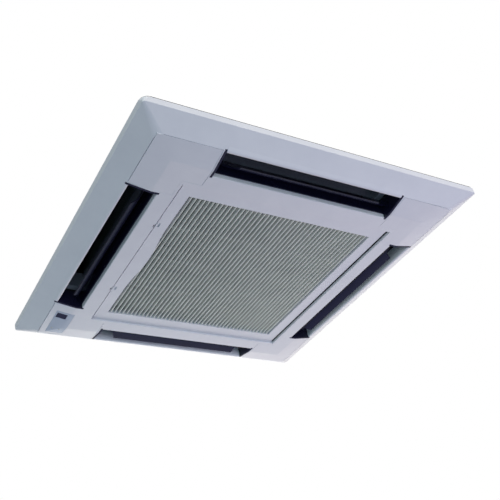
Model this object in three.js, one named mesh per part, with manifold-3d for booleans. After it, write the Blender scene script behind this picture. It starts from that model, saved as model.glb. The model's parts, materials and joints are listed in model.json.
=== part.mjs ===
// A four-way ceiling cassette air conditioner: the square panel with its intake grille and four
// louvred outlets, seen from the room, and the body that hangs above the ceiling behind it.
// Millimetres, +Z up. The origin is the centre of the panel on the plane of the ceiling.
// Side 1 faces -Y, side 2 +X, side 3 +Y and side 4 -X; corner 1 is the -X -Y one, and so on round.

import * as THREE from 'three';
import { mergeVertices } from 'three/addons/utils/BufferGeometryUtils.js';
import Module from 'manifold-3d';

const wasm = await Module();
wasm.setup();

// Clearances
const seatGap = 0.3; // between two pieces that rest on each other
const runningGap = 0.5; // round a piece that turns or slides
const coverGap = 1; // seam round a corner cover
const cutOver = 5; // how far a cutting tool runs past the face that it cuts

// Panel
const panelHalf = 475;
const panelDepth = 55; // from the ceiling down to the flat face
const rimHeight = 15; // upright wall round the edge
const rimDraft = 4; // how far that wall leans in
const edgeToShoulder = 55; // across the rim and the steep slope
const shoulderHalf = panelHalf - edgeToShoulder; // where the steep slope meets the shallow one
const shoulderRise = 10.5; // from the flat face up to that line
const shoulderDepth = panelDepth - shoulderRise;
const shallowSlopeWidth = 57;
const flatHalf = shoulderHalf - shallowSlopeWidth; // where the flat face starts
const panelWall = 3;
const panelCornerRadius = 20;
const gasketHeight = 2.7;
const gasketWidth = 8;
const gasketInset = 1.5;

// Outlet slots, measured on side 1 and repeated on the others
const slotInset = 1; // from the shoulder line to the mouth
const slotWidth = 73;
const slotOuter = shoulderHalf - slotInset;
const slotInner = slotOuter - slotWidth;
const slotEndInset = 96; // how much shorter than its distance from the middle half a slot is
const slotHalfLength = slotInner - slotEndInset;
const linerPlate = 5.7; // dark plate at each end of a slot
const linerPlateReach = 4.5; // how far that plate passes the mouth, towards and away from the rim
const linerWall = 2.5;
const linerInnerRise = 12.5; // from the flat face up to the dark wall on the grille's side
const linerInnerStart = panelDepth - linerInnerRise;
const linerOuterStart = 20;

// Louvre vane, drawn from its pivot outwards and downwards
const pivotInset = 16; // from the mouth's inner edge
const pivotOut = slotInner + pivotInset;
const pivotRise = 39; // above the flat face
const pivotDepth = panelDepth - pivotRise;
const vaneTailBack = 6.2;
const vaneTailRise = 8.8;
const vaneMiddleOut = 5.5;
const vaneMiddleDrop = 14;
const vaneKneeOut = 11;
const vaneKneeDrop = 25;
const vaneLipOut = 26;
const vaneLipDrop = 35;
const vaneTail = [pivotOut - vaneTailBack, pivotDepth - vaneTailRise];
const vaneMiddle = [pivotOut + vaneMiddleOut, pivotDepth + vaneMiddleDrop];
const vaneKnee = [pivotOut + vaneKneeOut, pivotDepth + vaneKneeDrop];
const vaneLip = [pivotOut + vaneLipOut, pivotDepth + vaneLipDrop];
const vaneEndGap = 7; // between the vane and the end of the slot
const vaneHalfLength = slotHalfLength - vaneEndGap;
const vaneThickness = 2.6;
const vaneKneeInset = 36; // the blade narrows towards its ends
const vaneKneeHalfLength = vaneHalfLength - vaneKneeInset;
const vaneLipInset = 43;
const vaneLipHalfLength = vaneHalfLength - vaneLipInset;
const vanePinRadius = 2.7;
const vaneBossRadius = 4.5;
const vaneBossLength = 7;
const motorRadius = 11;
const motorLength = 13;
const motorEarReach = 17;
const motorEarHalfHeight = 4;
const motorEarThickness = 2.2;
const motorShaftReach = 3; // how far a vane's pin enters its motor

// Intake grille
const slotToWell = 42.5; // from a slot's mouth to the well of the grille, on the latch side
const latchSideGap = 5.5;
const hingeSideGap = 8;
const wellGap = 1.5; // on the two sides between
const grilleHalfX = slotInner - slotToWell - latchSideGap;
const grilleSquare = 0.5; // how much longer the grille is along the hinge
const grilleHalfY = grilleHalfX + grilleSquare;
const grilleRise = 5; // its face lies above the flat of the panel
const grilleDepth = panelDepth - grilleRise;
const grillePlate = 3;
const wellWall = 3;
const wellLeft = -grilleHalfX - latchSideGap;
const wellRight = grilleHalfX + hingeSideGap;
const wellHalfY = grilleHalfY + wellGap;
const flangeThickness = 2.5;
const flangeHeight = 14;
const flangeTop = grilleDepth - flangeHeight;
const fieldInsetX = 31;
const fieldInsetY = 37.5;
const fieldHalfX = grilleHalfX - fieldInsetX;
const fieldHalfY = grilleHalfY - fieldInsetY;
const slatPitch = 12;
const slatThickness = 3.2;
const slatHeight = 12;
const slatTop = grilleDepth - slatHeight;
const slatRecess = 1.5;
const ribCount = 3;
const ribPitch = 130;
const ribThickness = 3;
const ribHeight = 3;
const collarWall = 2;

// Corner covers, whose inner corner is cut away round the grille
const coverToSlot = 10;
const coverInner = slotHalfLength + coverToSlot; // edge beside the slots
const coverToWell = 6;
const coverNotch = wellRight + coverToWell;
const coverThickness = 2.8;
const ledgeThickness = 2.7;
const ledgeWidth = 8; // service opening behind a cover, L-shaped round the corner of the grille
const serviceInner = coverInner + ledgeWidth;
const serviceNotch = coverNotch + panelWall;
const serviceInset = 65;
const serviceOuter = shoulderHalf - serviceInset;
const clipInset = 23;
const clipMiddle = coverNotch + clipInset; // from the centre of the panel, along the slot's direction
const clipHalfWidth = 8;
const clipThickness = 2;
const clipHeight = 12;
const clipBarb = 1.2;
const boltInset = 18;
const boltNear = coverNotch + boltInset; // panel bolt, from the centre along one side of its corner
const boltOuterInset = 42;
const boltFar = shoulderHalf - boltOuterInset; // and along the other
const boltRadius = 3;
const boltHeadRadius = 6;
const boltHeadHeight = 4;
const boltHeadRoom = 6; // how far the head sits above the cover's ledge
const boltBossRadius = 9;
const boltTop = 15; // how far the bolt reaches above the ceiling

// Receiver in corner 4: distances out towards side 4, and along it from its middle
const receiverInset = 17; // from the shoulder line
const receiverWidth = 50;
const receiverStart = 30; // from the cover's edge beside the slot
const receiverSide = [shoulderHalf - receiverInset - receiverWidth, shoulderHalf - receiverInset];
const receiverRun = [coverInner + receiverStart, shoulderHalf - receiverInset];
const receiverFace = 2.4;
const receiverFlange = 3.5;
const windowInset = 4;
const windowWidth = 28;
const windowStart = 9;
const windowLength = 23;
const windowSide = [receiverSide[1] - windowInset - windowWidth, receiverSide[1] - windowInset];
const windowRun = [receiverRun[0] + windowStart, receiverRun[0] + windowStart + windowLength];
const buttonInset = 11;
const buttonPitch = 21;
const buttonSides = [receiverSide[1] - buttonInset - buttonPitch, receiverSide[1] - buttonInset];
const buttonEnd = 26;
const buttonRun = receiverRun[1] - buttonEnd;
const buttonRadius = 2.5;
const buttonProud = 0.6;
const buttonTravel = 1.2;
const boardThickness = 1.6;
const boardRise = 21; // above the flat face
const boardDepth = panelDepth - boardRise;
const boardMargin = 2;
const postRadius = 2;

// Grille hinge on the +X edge, and latches on the -X edge
const hingeInset = 9;
const hingeX = grilleHalfX - hingeInset;
const hingeRise = 8; // above the grille's face
const hingeDepth = grilleDepth - hingeRise;
const hingeCornerInset = 127;
const hingeY = grilleHalfY - hingeCornerInset;
const hingePinRadius = 2;
const hingeArmThickness = 3;
const hingeArmHalfWidth = 3.6;
const hingeArmLength = 18;
const hingeArmTop = hingeDepth - hingeArmLength;
const hingeLugThickness = 3;
const hingeLugHalfWidth = 4;
const hingePinHead = 1.5;
const latchCornerInset = 156.5;
const latchY = grilleHalfY - latchCornerInset;
const latchHalfWidth = 7;
const latchTravel = 4;
const latchTab = 5;
const latchTongue = latchSideGap + 2; // how far the tongue passes the edge of the grille
const latchThickness = 3;
const latchTail = 14;
const bulgeDepth = 10; // the border bows into the slats between the latches
const bulgeHalfLength = latchY - latchHalfWidth;
const bulgeSteps = 12;

// Air filter, lying on the grille's ribs
const filterInset = 5; // from the edge of the slats
const filterHalfX = fieldHalfX - filterInset;
const filterHalfY = fieldHalfY - filterInset;
const filterBorder = 9;
const filterThickness = 4;
const filterBar = 3;
const filterBars = 4;
const netThickness = 0.8;

// Body above the ceiling
const bodyHalf = shoulderHalf;
const bodyChamfer = 80; // cut off each corner, measured along a side
const bodyTop = 246;
const sheetMetal = 1.2;
const bodyBottom = 1.5;
const footSize = 140;
const footThickness = 1.6;
const linerFoam = 12;
const panTop = 52;
const panHoleInset = 180;
const panHoleRadius = bodyHalf - panHoleInset;
const ductEndInset = 15;
const ductHalfLength = slotHalfLength - ductEndInset;
const ductOuterInset = 15;
const ductOuter = slotOuter - ductOuterInset;
const ductInnerReach = 2;
const ductInner = slotInner - ductInnerReach;
const ductFootGap = 4; // between a duct and the feet beside it
const channelDepth = 30;
const channelMargin = 6;
const coilInset = 17;
const coilOuterHalf = ductInner - coilInset;
const coilThickness = 40;
const coilCornerRadius = 60;
const coilTopRoom = 18;
const coilTop = bodyTop - coilTopRoom;
const coilGap = 95; // open corner of the coil, where the pipes leave
const sheetThickness = 2;
const topBossRadius = 120;
const topBossHeight = 5;

// Fan and its motor
const fanInset = 5;
const fanRadius = panHoleRadius - fanInset;
const fanEyeInset = 47;
const fanEyeRadius = fanRadius - fanEyeInset;
const fanBottom = 54;
const fanRimDepth = 22;
const fanTopRoom = 56;
const fanTop = bodyTop - fanTopRoom;
const fanWall = 3;
const bowlRadius = 84;
const motorTopRoom = 32;
const motorBodyTop = bodyTop - motorTopRoom;
const motorHeight = 86;
const motorBodyBottom = motorBodyTop - motorHeight;
const bowlBelowMotor = 16;
const bowlBottom = motorBodyBottom - bowlBelowMotor;
const bladeCount = 7;
const bladeLength = 85;
const bladeInnerRadius = fanRadius - bladeLength;
const bladeTurn = -0.85; // how far a blade leans back, in radians
const bladeThickness = 5;
const bladeSteps = 5;
const shaftRadius = 6;
const shaftBelowBowl = 20;
const shaftBottom = bowlBottom - shaftBelowBowl;
const shaftSocket = 10; // how far the shaft enters the motor
const nutRadius = 11;
const nutHeight = 9;
const motorBodyRadius = 62;
const motorFlangeRadius = 92;
const motorPostRadius = 9;
const motorPostOffset = 78;
const throatInset = 8;
const mouthThroatRadius = fanEyeRadius - throatInset;
const mouthBottom = 8;
const mouthOverlap = 12; // how far the throat reaches up into the fan
const mouthTop = fanBottom + mouthOverlap;
const mouthWall = 2.5;
const mouthRim = 12; // flat edge of the flange, and straight length of the throat
const mouthFlangeRadius = panHoleRadius - seatGap;

// Refrigerant pipes, which leave through corner 3
const gasRadius = 7.95;
const liquidRadius = 4.75;
const gasHeight = 150;
const liquidHeight = 105;
const pipeSpread = 20; // each pipe leaves this far to one side of the corner's middle
const pipeBendInset = 88;
const pipeBend = bodyHalf - pipeBendInset; // distance along each axis at which the pipe has turned outwards
const pipeReach = 4;
const pipeEnd = bodyHalf + pipeReach;
const pipeSteps = 12;
const headerBottom = 40;
const headerRoom = 10; // from the top of the coil down to the top of a header
const headerWall = 2; // how much wider a pipe's header is than the pipe
const nutLength = 18;
const nutWall = 5;
const nutOverhang = 4; // how far a nut passes the end of its pipe

// Drain pump and float in corner 2, control box beside the air inlet
const cornerFace = (bodyHalf - bodyChamfer / 2) * Math.SQRT2; // from the centre to a chamfered face
const pumpInset = 57.4;
const pumpOut = cornerFace - pumpInset; // from the centre, along the diagonal of the corner
const pumpAside = 22; // and to one side of it
const pumpRadius = 27;
const pumpTop = 128;
const pumpPlate = 4; // plate that carries the pump over the sump
const sumpBehind = 50;
const sumpBeyond = 28;
const sumpOut = [pumpOut - sumpBehind, pumpOut + sumpBeyond];
const sumpHalfWidth = 50;
const plateOverlap = 7;
const drainRadius = 9;
const drainWall = 2;
const drainHeight = 150;
const drainReach = 32;
const drainEnd = bodyHalf + drainReach;
const floatAside = -30;
const floatRadius = 11;
const floatHeight = 16;
const floatRest = 4; // above the floor of the sump
const floatArmHeight = 86;
const floatArm = 6;
const stemRadius = 3;
const controlHalfX = 130;
const controlGap = 3; // between the fan's opening and the control box
const controlWidth = 34;
const controlY = [panHoleRadius + controlGap, panHoleRadius + controlGap + controlWidth];
const controlBottom = -15;
const controlHeight = 55;
const controlZ = [controlBottom, controlBottom + controlHeight];
const controlWall = 1.5;
const controlLip = 4; // how far the lid's rim stands inside the box
const controlBoardEnds = [15, 60]; // from the two ends of the box to the board
const controlBoard = [-controlHalfX + controlBoardEnds[0], controlHalfX - controlBoardEnds[1],
  controlY[0] + 5, controlY[1] - 5]; // x0, x1, y0, y1
const controlBoardRoom = 12;
const controlBoardZ = controlZ[1] - controlBoardRoom;
const controlParts = [[7, 24, 14], [55, 22, 18], [95, 32, 10], [145, 32, 15]]; // start, width, height

// Suspension brackets
const bracketHalfWidth = 25;
const bracketDrop = 45;
const bracketReach = 42;
const bracketThickness = 2.5;
const bracketHeight = bodyTop - motorTopRoom;
const rodOut = 28.3; // from the chamfered face to the hanging rod
const rodRadius = 5.5;

const roundSides = 32;
const smallSides = 12;
const roundSteps = 4;

const rimTop = -gasketHeight - seatGap;
const sideTurns = [0, 90, 180, 270];

// ---- building blocks ----

function toSolid(geometry) {
  geometry.deleteAttribute('normal');
  geometry.deleteAttribute('uv');
  const merged = mergeVertices(geometry, 1e-4);
  const corners = Array.from(merged.index.array);
  const kept = [];
  for (let i = 0; i < corners.length; i += 3) {
    const [a, b, c] = corners.slice(i, i + 3);
    if (a !== b && b !== c && c !== a) kept.push(a, b, c);
  }
  const vertProperties = Float32Array.from(merged.attributes.position.array);
  return new wasm.Manifold(new wasm.Mesh({ numProp: 3, vertProperties, triVerts: Uint32Array.from(kept) }));
}

function block(x0, x1, y0, y1, z0, z1) {
  const geometry = new THREE.BoxGeometry(x1 - x0, y1 - y0, z1 - z0);
  geometry.translate((x0 + x1) / 2, (y0 + y1) / 2, (z0 + z1) / 2);
  return toSolid(geometry);
}

function post(x, y, z0, z1, radius, sides = smallSides) {
  const geometry = new THREE.CylinderGeometry(radius, radius, z1 - z0, sides);
  geometry.rotateX(Math.PI / 2);
  geometry.translate(x, y, (z0 + z1) / 2);
  return toSolid(geometry);
}

function rod(y, z, x0, x1, radius, sides = smallSides) {
  const geometry = new THREE.CylinderGeometry(radius, radius, x1 - x0, sides);
  geometry.rotateZ(Math.PI / 2);
  geometry.translate((x0 + x1) / 2, y, z);
  return toSolid(geometry);
}

function rodAlongY(x, z, y0, y1, radius, sides = smallSides) {
  const geometry = new THREE.CylinderGeometry(radius, radius, y1 - y0, sides);
  geometry.translate(x, (y0 + y1) / 2, z);
  return toSolid(geometry);
}

function extrude(points, depth) {
  const shape = new THREE.Shape(points.map(([x, y]) => new THREE.Vector2(x, y)));
  return new THREE.ExtrudeGeometry(shape, { depth, bevelEnabled: false });
}

function prism(points, z0, z1) {
  return toSolid(extrude(points, z1 - z0).translate(0, 0, z0));
}

// A section drawn as [y, z] points, run from x0 to x1
function runAlongX(points, x0, x1) {
  const geometry = extrude(points, x1 - x0).translate(0, 0, x0);
  const turn = new THREE.Matrix4().makeBasis(
    new THREE.Vector3(0, 1, 0), new THREE.Vector3(0, 0, 1), new THREE.Vector3(1, 0, 0));
  return toSolid(geometry.applyMatrix4(turn));
}

function revolve(points, sides = roundSides) {
  const outline = points.map(([r, z]) => new THREE.Vector2(r, z));
  if (THREE.ShapeUtils.area(outline) < 0) outline.reverse();
  if (points[0][0] > 0) outline.push(outline[0].clone());
  return toSolid(new THREE.LatheGeometry(outline, sides).rotateX(Math.PI / 2));
}

function turned(solid, degrees) {
  return solid.rotate([0, 0, degrees]);
}

function roundedSquare(half, radius, steps = roundSteps) {
  const points = [];
  for (let corner = 0; corner < 4; corner += 1) {
    for (let i = 0; i <= steps; i += 1) {
      const angle = (corner + i / steps) * Math.PI / 2;
      const centreAngle = (corner + 0.5) * Math.PI / 2;
      const centre = (half - radius) * Math.SQRT2;
      points.push([
        centre * Math.cos(centreAngle) + radius * Math.cos(angle),
        centre * Math.sin(centreAngle) + radius * Math.sin(angle),
      ]);
    }
  }
  return points;
}

function octagon(half, chamfer) {
  const straight = half - chamfer;
  return [
    [half, -straight], [half, straight], [straight, half], [-straight, half],
    [-half, straight], [-half, -straight], [-straight, -half], [straight, -half],
  ];
}

// The body's outline moved in by a distance
function bodyOutline(inset) {
  return octagon(bodyHalf - inset, bodyChamfer - inset * (2 - Math.SQRT2));
}

// ---- panel surfaces ----

// Half section of the panel from rim to middle as [distance out, z], moved in by a distance
function panelSection(inset, top) {
  const corners = [
    [panelHalf, rimTop], [panelHalf - rimDraft, -rimHeight], [shoulderHalf, -shoulderDepth],
    [flatHalf, -panelDepth], [0, -panelDepth],
  ];
  const lines = [];
  for (let i = 1; i < corners.length; i += 1) {
    const [x0, z0] = corners[i - 1];
    const [x1, z1] = corners[i];
    const length = Math.hypot(x1 - x0, z1 - z0);
    const normal = [(z1 - z0) / length, -(x1 - x0) / length];
    lines.push({ normal, reach: normal[0] * x0 + normal[1] * z0 + inset });
  }
  const points = [[(lines[0].reach - lines[0].normal[1] * top) / lines[0].normal[0], top]];
  for (let i = 1; i < lines.length; i += 1) {
    const [a, b] = lines[i - 1].normal;
    const [c, d] = lines[i].normal;
    const area = a * d - b * c;
    const x = (lines[i - 1].reach * d - b * lines[i].reach) / area;
    const z = (a * lines[i].reach - lines[i - 1].reach * c) / area;
    points.push([x, z]);
  }
  return points;
}

// Everything inside the panel's outer surface once that surface is moved in by a distance
function panelBlock(inset, top = rimTop) {
  const half = panelSection(inset, top);
  const section = [...half, ...half.map(([out, z]) => [-out, z]).reverse()];
  const ridge = runAlongX(section, -panelHalf, panelHalf);
  const corners = roundedSquare(panelHalf - inset, panelCornerRadius - inset);
  return ridge.intersect(turned(ridge, 90)).intersect(prism(corners, -panelDepth - cutOver, top + cutOver));
}

// A layer of the panel's skin between two depths, kept inside an outline
function skin(outline, outerInset, innerInset) {
  const layer = panelBlock(outerInset).subtract(panelBlock(innerInset, cutOver));
  return layer.intersect(prism(outline, -panelDepth - cutOver, cutOver));
}

function rectangle([x0, x1], [y0, y1], grow = 0) {
  return [[x0 - grow, y0 - grow], [x1 + grow, y0 - grow], [x1 + grow, y1 + grow], [x0 - grow, y1 + grow]];
}

function rectangleBlock([x0, x1], [y0, y1], grow = 0) {
  return prism(rectangle([x0, x1], [y0, y1], grow), -panelDepth - cutOver, cutOver);
}

// Outline of a corner cover in the +X +Y corner, grown by a distance
function coverOutline(grow = 0) {
  const low = coverInner - grow;
  const high = shoulderHalf + grow;
  const notch = coverNotch - grow;
  return [[low, notch], [notch, notch], [notch, low], [high, low], [high, high], [low, high]];
}

// Corner 3 is the +X +Y one, so a piece drawn there is turned from it
function cornerTurn(corner) {
  return (corner - 3) * 90;
}

// ---- panel pieces ----

function slotMouth() {
  const ends = slotHalfLength + linerPlate + 2 * seatGap;
  const reachOut = slotOuter + linerPlateReach + seatGap;
  const reachIn = slotInner - linerPlateReach - seatGap;
  const mouth = block(-slotHalfLength - seatGap, slotHalfLength + seatGap, -slotOuter, -slotInner,
    -panelDepth - cutOver, cutOver);
  const plates = block(-ends, ends, -reachOut, -reachIn, -panelDepth - cutOver, cutOver)
    .subtract(block(-slotHalfLength, slotHalfLength, -reachOut - 1, -reachIn + 1,
      -panelDepth - 2 * cutOver, 2 * cutOver));
  return mouth.add(plates);
}

function slotWalls() {
  const ends = slotHalfLength + linerPlate + 2 * seatGap + panelWall;
  const reachOut = slotOuter + linerPlateReach + seatGap + panelWall;
  const reachIn = slotInner - linerPlateReach - seatGap - panelWall;
  const long = block(-ends, ends, -slotOuter - panelWall, -slotInner + panelWall, -panelDepth, rimTop);
  const plates = block(-ends, ends, -reachOut, -reachIn, -panelDepth, rimTop)
    .subtract(block(-slotHalfLength + panelWall, slotHalfLength - panelWall, -reachOut - 1, -reachIn + 1,
      -panelDepth - cutOver, cutOver));
  return long.add(plates);
}

function grilleWell(grow, z0, z1) {
  return block(wellLeft - grow, wellRight + grow, -wellHalfY - grow, wellHalfY + grow, z0, z1);
}

function boltPlace(corner) {
  const angle = THREE.MathUtils.degToRad(cornerTurn(corner));
  const cos = Math.round(Math.cos(angle));
  const sin = Math.round(Math.sin(angle));
  return [boltFar * cos - boltNear * sin, boltFar * sin + boltNear * cos];
}

const headSeat = -panelDepth + coverThickness + seatGap + ledgeThickness + boltHeadRoom;

function hingeArm(side) {
  const y = side * hingeY;
  const low = y - hingeArmThickness / 2;
  const high = y + hingeArmThickness / 2;
  const upright = block(hingeX - hingeArmHalfWidth, hingeX + hingeArmHalfWidth, low, high,
    -hingeDepth, -hingeArmTop);
  const reach = block(hingeX - hingeArmHalfWidth, wellRight + wellWall, low, high,
    -hingeArmTop - 2 * hingeArmHalfWidth, -hingeArmTop);
  const eye = rodAlongY(hingeX, -hingeDepth, low, high, hingeArmHalfWidth);
  return upright.add(reach).add(eye)
    .subtract(rodAlongY(hingeX, -hingeDepth, low - 1, high + 1, hingePinRadius + seatGap));
}

function panelFrame() {
  const outer = panelBlock(0);
  let frame = outer.subtract(panelBlock(panelWall, cutOver));
  let walls = grilleWell(wellWall, -panelDepth, rimTop);
  for (const turn of sideTurns) walls = walls.add(turned(slotWalls(), turn));
  frame = frame.add(walls.intersect(outer));

  // each corner steps in under its cover, with a service opening and a boss for the panel bolt
  const recess = coverThickness + seatGap;
  for (let corner = 1; corner <= 4; corner += 1) {
    const turn = cornerTurn(corner);
    const [boltX, boltY] = boltPlace(corner);
    const cut = turned(skin(coverOutline(coverGap), -1, recess), turn);
    const ledge = turned(skin(coverOutline(panelWall), recess, recess + ledgeThickness), turn);
    const boss = post(boltX, boltY, -panelDepth, rimTop, boltBossRadius).intersect(panelBlock(recess));
    frame = frame.subtract(cut).add(ledge).add(boss);
  }
  for (const turn of sideTurns) frame = frame.subtract(turned(slotMouth(), turn));
  frame = frame.subtract(grilleWell(0, -panelDepth - cutOver, cutOver));
  for (let corner = 1; corner <= 4; corner += 1) {
    const turn = cornerTurn(corner);
    const [boltX, boltY] = boltPlace(corner);
    const service = rectangleBlock([serviceInner, serviceOuter], [serviceInner, serviceOuter])
      .subtract(rectangleBlock([0, serviceNotch], [0, serviceNotch]));
    const bolt = post(boltX, boltY, -panelDepth - cutOver, cutOver, boltRadius + seatGap);
    const head = post(boltX, boltY, -panelDepth - cutOver, headSeat, boltHeadRadius + runningGap);
    const boss = post(boltX, boltY, -panelDepth - cutOver, cutOver, boltBossRadius + 0.01);
    frame = frame.subtract(turned(service, turn).subtract(boss)).subtract(bolt).subtract(head);
  }
  frame = frame.subtract(turned(receiverRoom(), cornerTurn(4)));

  // motor shafts and vane pins pass through the end walls of the slots
  const holeEnd = slotHalfLength + linerPlate + 3 * seatGap + panelWall + cutOver;
  const shaftHole = rod(-pivotOut, -pivotDepth, -holeEnd, holeEnd, vanePinRadius + runningGap);
  for (const turn of sideTurns) frame = frame.subtract(turned(shaftHole, turn));

  // the latch tongues enter notches that are open towards the room
  for (const side of [-1, 1]) {
    const y = side * latchY;
    frame = frame.subtract(block(wellLeft - wellWall - 1, wellLeft + 1, y - latchHalfWidth - runningGap,
      y + latchHalfWidth + runningGap, -panelDepth - cutOver, -latchTopDepth + runningGap));
    frame = frame.add(hingeArm(side));
  }
  return frame;
}

function cornerCover(corner) {
  let cover = skin(coverOutline(), 0, coverThickness);
  const inside = -panelDepth + coverThickness;
  const ledgeTop = inside + seatGap + ledgeThickness + seatGap;
  const edge = serviceInner + seatGap;
  const stem = block(edge, edge + clipThickness, clipMiddle - clipHalfWidth, clipMiddle + clipHalfWidth,
    inside - 1, inside + clipHeight);
  const barb = block(edge - seatGap - clipBarb, edge + 1,
    clipMiddle - clipHalfWidth, clipMiddle + clipHalfWidth, ledgeTop, ledgeTop + clipThickness);
  // the two clips face the two slots beside the corner
  const clip = stem.add(barb);
  cover = cover.add(clip).add(turned(clip.mirror([0, 1, 0]), 90));
  if (corner === 4) cover = cover.subtract(rectangleBlock(receiverRun, receiverSide, seatGap));
  return turned(cover, cornerTurn(corner));
}

function ceilingGasket() {
  const outer = panelHalf - gasketInset;
  const inner = outer - gasketWidth;
  return prism(roundedSquare(outer, panelCornerRadius), -gasketHeight, 0)
    .subtract(prism(roundedSquare(inner, panelCornerRadius - gasketWidth), -gasketHeight - 1, 1));
}

function panelBolt() {
  const shank = post(0, 0, headSeat - 1, boltTop, boltRadius);
  return post(0, 0, headSeat - seatGap - boltHeadHeight, headSeat - seatGap, boltHeadRadius, 6).add(shank);
}

// ---- outlet pieces, drawn on side 1 ----

function outletLiner() {
  const top = rimTop - seatGap;
  const endNear = slotHalfLength + seatGap;
  const endFar = endNear + linerPlate;
  const reachOut = slotOuter + linerPlateReach;
  const reachIn = slotInner - linerPlateReach;
  const innerFace = -slotInner - seatGap;
  const outerFace = -slotOuter + seatGap;
  let liner = block(-endNear - 1, endNear + 1, innerFace - linerWall, innerFace, -linerInnerStart, top)
    .add(block(-endNear - 1, endNear + 1, outerFace, outerFace + linerWall, -linerOuterStart, top));
  for (const side of [-1, 1]) {
    const x0 = side > 0 ? endNear : -endFar;
    const plate = block(x0, x0 + linerPlate, -reachOut, -reachIn, -panelDepth, top);
    liner = liner.add(plate.intersect(panelBlock(0)));
  }
  const pinHole = rod(-pivotOut, -pivotDepth, -endFar - 1, endFar + 1, vanePinRadius + seatGap);
  return liner.subtract(pinHole);
}

// A strip of even thickness along a smooth line of [distance out, depth] points, as [y, z] points
function vaneSection() {
  const line = [vaneTail, [pivotOut, pivotDepth], vaneMiddle, vaneKnee, vaneLip];
  const curve = new THREE.SplineCurve(line.map(([out, depth]) => new THREE.Vector2(-out, -depth)));
  const steps = 7;
  const left = [];
  const right = [];
  for (let i = 0; i <= steps; i += 1) {
    const point = curve.getPoint(i / steps);
    const tangent = curve.getTangent(i / steps);
    const offset = new THREE.Vector2(-tangent.y, tangent.x).multiplyScalar(vaneThickness / 2);
    left.push([point.x + offset.x, point.y + offset.y]);
    right.unshift([point.x - offset.x, point.y - offset.y]);
  }
  return [...left, ...right];
}

function louvreVane() {
  let vane = runAlongX(vaneSection(), -vaneHalfLength, vaneHalfLength);
  // past its bosses the blade is cut back at a slant, and the lip a little more
  const cutStart = pivotOut + vaneBossRadius + seatGap;
  for (const side of [-1, 1]) {
    const end = side * (vaneHalfLength + 1);
    const lipEnd = side * vaneLipHalfLength;
    vane = vane.subtract(prism([
      [end, -cutStart], [side * vaneKneeHalfLength, -vaneKnee[0]], [lipEnd, -vaneLip[0]],
      [lipEnd, -vaneLip[0] - cutOver], [end, -vaneLip[0] - cutOver],
    ], -panelDepth - cutOver, 0));
    const bossStart = side > 0 ? vaneHalfLength - vaneBossLength : -vaneHalfLength;
    vane = vane.add(rod(-pivotOut, -pivotDepth, bossStart, bossStart + vaneBossLength, vaneBossRadius));
  }
  const pinEnd = slotHalfLength + seatGap + linerPlate;
  const motorEnd = slotHalfLength + linerPlate + 3 * seatGap + panelWall + motorShaftReach;
  return vane.add(rod(-pivotOut, -pivotDepth, -motorEnd, -vaneHalfLength + 1, vanePinRadius))
    .add(rod(-pivotOut, -pivotDepth, vaneHalfLength - 1, pinEnd, vanePinRadius));
}

function vaneMotor() {
  const face = -(slotHalfLength + linerPlate + 3 * seatGap + panelWall);
  const can = rod(-pivotOut, -pivotDepth, face - motorLength, face, motorRadius);
  const ears = block(face - motorEarThickness, face, -pivotOut - motorEarReach, -pivotOut + motorEarReach,
    -pivotDepth - motorEarHalfHeight, -pivotDepth + motorEarHalfHeight);
  const socket = rod(-pivotOut, -pivotDepth, face - motorShaftReach - 1, face + 1, vanePinRadius + seatGap);
  return can.add(ears).subtract(socket);
}

// ---- receiver, drawn in corner 3 with side 3 as its outer side ----

function receiverRoom() {
  const room = rectangle(receiverRun, receiverSide, receiverFlange + 2);
  return prism(room, -panelDepth - cutOver, -boardDepth + 10);
}

const boardX = [receiverRun[0] + boardMargin, receiverRun[1] - boardMargin];
const boardY = [receiverSide[0] + boardMargin, receiverSide[1] - boardMargin];

function receiverHousing() {
  const under = coverThickness + seatGap;
  const flange = rectangle(receiverRun, receiverSide, receiverFlange);
  let housing = skin(rectangle(receiverRun, receiverSide), 0, under + 1)
    .add(skin(flange, under, under + 1.5));
  for (const x of boardX) {
    for (const y of boardY) {
      const inX = x + (x === boardX[0] ? postRadius : -postRadius);
      const inY = y + (y === boardY[0] ? postRadius : -postRadius);
      housing = housing.add(post(inX, inY, -panelDepth, -boardDepth - seatGap, postRadius)
        .intersect(panelBlock(receiverFace, 0)));
    }
  }
  housing = housing.subtract(rectangleBlock(windowRun, windowSide, seatGap));
  for (const y of buttonSides) {
    const hole = post(buttonRun, y, -panelDepth - cutOver, -boardDepth - 2, buttonRadius + seatGap);
    housing = housing.subtract(hole);
  }
  return housing;
}

function receiverWindow() {
  const inside = coverThickness + seatGap + 1.5 + seatGap;
  const pane = skin(rectangle(windowRun, windowSide), 0.4, inside + 1.5);
  return pane.add(skin(rectangle(windowRun, windowSide, 2), inside, inside + 1.5));
}

function manualButton(y) {
  const stem = post(buttonRun, y, -panelDepth - cutOver, -boardDepth - buttonTravel - seatGap, buttonRadius)
    .intersect(panelBlock(-buttonProud));
  const flangeDepth = coverThickness + seatGap + 1 + 2 * seatGap;
  const flange = post(buttonRun, y, -panelDepth, -boardDepth, buttonRadius + 1)
    .intersect(panelBlock(flangeDepth, 0)).subtract(panelBlock(flangeDepth + 1, cutOver));
  return stem.add(flange);
}

function receiverBoard() {
  return prism(rectangle(boardX, boardY), -boardDepth, -boardDepth + boardThickness);
}

// ---- grille, latches and filter ----

const latchTopDepth = grilleDepth - grillePlate - seatGap - latchThickness;

function slatField() {
  // the edge on the latch side bows in along a shallow arc
  const points = [
    [-fieldHalfX, fieldHalfY], [fieldHalfX, fieldHalfY],
    [fieldHalfX, -fieldHalfY], [-fieldHalfX, -fieldHalfY],
  ];
  for (let i = 0; i <= bulgeSteps; i += 1) {
    const along = -1 + 2 * i / bulgeSteps;
    points.push([-fieldHalfX + bulgeDepth * Math.cos(along * Math.PI / 2) ** 2, along * bulgeHalfLength]);
  }
  return points;
}

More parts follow.
